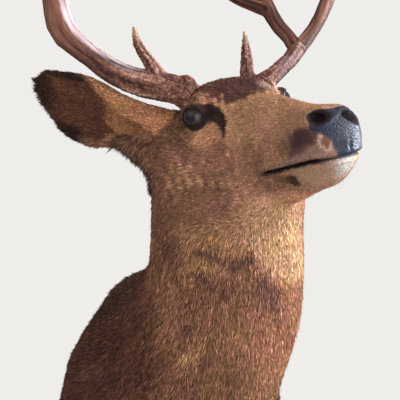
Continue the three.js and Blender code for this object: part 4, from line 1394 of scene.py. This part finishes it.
def makeAntler(name, seed):
    nodes = [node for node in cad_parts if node.endswith("_" + name)
             and node.split("_")[0] in ("beam", "brow", "front", "rear")]
    piece = remeshed("antler_" + name, mergedCopy(nodes, 0.6 * mm), antlerLook["voxel"])
    points = verticesOf(piece.data)
    edges = edgesOf(piece.data)
    ones = np.ones(len(points))
    points = relax(points, edges, antlerLook["smooth"], 0.6 * ones)
    nearBurr = np.linalg.norm(toHead(points) - burrs[name][0], axis=1)
    points = relax(points, edges, 12, 0.6 * ease(nearBurr, 45, 30), keep=-0.2)
    setVertices(piece.data, points)
    normals = normalsOf(piece.data)
    local = toHead(points)
    at = alongAntler(local, antlerLines[name])
    centre, way = burrs[name]
    height = (local - centre) @ unit(np.array(way, float))
    rough = ease(at["run"], 230, 30) * (at["line"] < 2)
    rough = np.maximum(rough, 0.8 * (at["line"] == 1) * ease(at["tip"], 1.0, 0.6))
    # ridges run lengthwise, so the pattern is stretched along the line
    grainAt = np.column_stack([at["round"] * 14, at["run"] * 0.10 + 60 * at["line"]])
    coarse = lumps(grainAt, 7, seed)
    fine = lumps(grainAt, 3.2, seed + 1)
    worn = ease(at["tip"], 1.0, 0.6) * (1 - 0.9 * (at["line"] > 1) * ease(at["tip"], 0.45, 0.9))
    ridge = antlerLook["ridge"] * worn * (0.6 * coarse - 0.55 * np.abs(fine))
    rng = np.random.default_rng(seed + 2)
    chance = rough**1.3 + 0.02
    seeds = rng.choice(len(local), antlerLook["pearls"][name], replace=False, p=chance / chance.sum())
    pearls = np.zeros(len(local))
    search = KDTree(len(seeds))
    for row, place in enumerate(local[seeds]):
        search.insert(place, row)
    search.balance()
    size = rng.uniform(1.1, 1.9, len(seeds))
    for row in np.flatnonzero(rough > 0.02):
        _, which, gap = search.find(local[row])
        if gap < 2.2 * size[which]:
            pearls[row] = math.exp(-((gap / size[which]) ** 2)) * size[which]
    collar = hump(height, 6.0) * (at["line"] == 0)
    knobs = 0.7 * collar * lumps(local, 5, seed + 3)
    rise = ridge + (pearls - 0.5) * (0.15 + 0.85 * rough) * 0.75 + knobs
    turned = normals @ headTurn.T
    local = local + turned * rise[:, None]
    if name == "right":
        outer = ease(-(turned @ swell["way"]), 0.0, 0.9) * softForm(local, swell)
        local = local - swell["out"] * outer[:, None] * np.array(swell["way"])
    setVertices(piece.data, fromHead(local))
    putAttribute(piece.data, "groove", "FLOAT", np.clip(0.47 + 0.40 * rise, 0, 1))
    # painted highlight on the beam faces that turn towards the light
    lit = turned @ unit(np.array(sheenSide["way"])) + 0.12 * coarse
    paintedSheen = ease(lit, *sheenSide["edge"]) * ease(at["run"], *sheenSide["run"]) * (at["line"] == 0)
    putAttribute(piece.data, "paintedSheen", "FLOAT", np.clip(paintedSheen * (sheenSide["share"] + 0.3 * fine), 0, 1))
    putAttribute(piece.data, "tip", "FLOAT", np.where(at["line"] > 0, at["tip"], 0))
    putAttribute(piece.data, "grain", "FLOAT_VECTOR", grainAt)
    shadeSmooth(piece.data)
    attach(piece, "root")
    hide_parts(*nodes)
    print(piece.name, len(piece.data.polygons), "faces")
    return piece


material, tree, shader = newMaterial("antler")
streaks = addNode(tree, "TexNoise", {
    "Vector": stored(tree, "grain", "Vector"), "Scale": antlerLook["streaks"], "Detail": 5}).outputs["Fac"]
bone = mixed(tree, 1.0, ramp(tree, stored(tree, "groove"), antlerLook["groove"]),
             ramp(tree, streaks, antlerLook["tone"]), "MULTIPLY")
# the painted highlight mixed over the bone colour
bone = mixed(tree, stored(tree, "paintedSheen"), bone, antlerLook["paintedSheen"])
tipShare = ranged(tree, stored(tree, "tip"), fromLow=0.72, high=0.4)
wire(shader, {
    "Base Color": mixed(tree, tipShare, bone, antlerLook["tip"]),
    "Roughness": antlerLook["roughness"], "Specular IOR Level": antlerLook["specular"],
    "Normal": bumped(tree, streaks, antlerLook),
})
for number, name in enumerate(("right", "left")):
    makeAntler(name, 70 + 10 * number).data.materials.append(material)

boardLook = {
    "roughness": 0.6, "stretch": (34, 34, 3),
    "rings": [(0.3, (0.42, 0.27, 0.14)), (0.5, (0.56, 0.38, 0.21)), (0.7, (0.47, 0.30, 0.16))],
}
material, tree, shader = newMaterial("board")
stretched = addNode(tree, "Mapping", {"Vector": addNode(tree, "TexCoord").outputs["Object"],
                                      "Scale": boardLook["stretch"]}).outputs["Vector"]
rings = addNode(tree, "TexNoise", {"Vector": stretched, "Scale": 1.0, "Detail": 4}).outputs["Fac"]
wire(shader, {"Base Color": ramp(tree, rings, boardLook["rings"]), "Roughness": boardLook["roughness"]})
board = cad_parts["backboard"]
board.data.materials.clear()
board.data.materials.append(material)
print("backboard finished")

lightSettings = {
    "low": {"place": (0.35, -1.4, -1.0), "size": 1.1, "power": 10, "colour": (1.0, 0.95, 0.88)},
    "key": {"place": (1.5, -1.8, 0.9), "size": 1.2, "power": 100, "colour": (1.0, 0.97, 0.94)},
    "front": {"place": (0.5, -2.3, -0.5), "size": 1.6, "power": 44, "colour": (1.0, 0.97, 0.94)},
    "fill": {"place": (-1.6, -1.5, 0.4), "size": 1.6, "power": 16, "colour": (1.0, 0.96, 0.93)},
    "side": {"place": (1.9, -0.3, 0.55), "size": 0.9, "power": 7, "colour": (0.86, 0.93, 1.0),
             "aim": (0.12, -0.5, 0.4), "spread": 34},
}
middle = (0.05, -0.3, 0.25)
for name, settings in lightSettings.items():
    lamp = bpy.data.lights.new(name, "AREA")
    lamp.shape = "DISK"
    lamp.size = settings["size"]
    lamp.energy = settings["power"]
    lamp.color = settings["colour"]
    light = bpy.data.objects.new(name, lamp)
    light.location = settings["place"]
    lamp.spread = math.radians(settings.get("spread", 180))
    aim = Vector(settings.get("aim", middle)) - Vector(settings["place"])
    light.rotation_euler = aim.to_track_quat("-Z", "Y").to_euler()
    scene.collection.objects.link(light)

floorSettings = {"half": 2.5, "middle": (0, -1, -1.3)}
work = bmesh.new()
bmesh.ops.create_grid(work, x_segments=1, y_segments=1, size=floorSettings["half"])
bmesh.ops.translate(work, verts=work.verts, vec=floorSettings["middle"])
floor = bpy.data.meshes.new("floor")
work.to_mesh(floor)
work.free()
ground = addPiece("floor", floor)
material, tree, shader = newMaterial("floor")
wire(shader, {"Base Color": (0.72, 0.71, 0.69, 1), "Roughness": 0.9})
floor.materials.append(material)

world = bpy.data.worlds.new("studio")
scene.world = world
world.use_nodes = True
tree = world.node_tree
tree.nodes.clear()
# the camera sees one colour, and the model is lit by another
shown = addNode(tree, "Background", {"Color": (0.86, 0.85, 0.83, 1), "Strength": 1.0}).outputs[0]
around = addNode(tree, "Background", {"Color": (1.0, 0.98, 0.95, 1), "Strength": 0.5}).outputs[0]
ray = addNode(tree, "LightPath").outputs
seen = addNode(tree, "Math", {0: ray["Is Camera Ray"], 1: ray["Is Transmission Ray"]},
               operation="MAXIMUM").outputs[0]
pick = addNode(tree, "MixShader", {0: seen, 1: around, 2: shown}).outputs[0]
addNode(tree, "OutputWorld", {0: pick})
print("lights, floor and background set")

scene.view_settings.view_transform = "Standard"
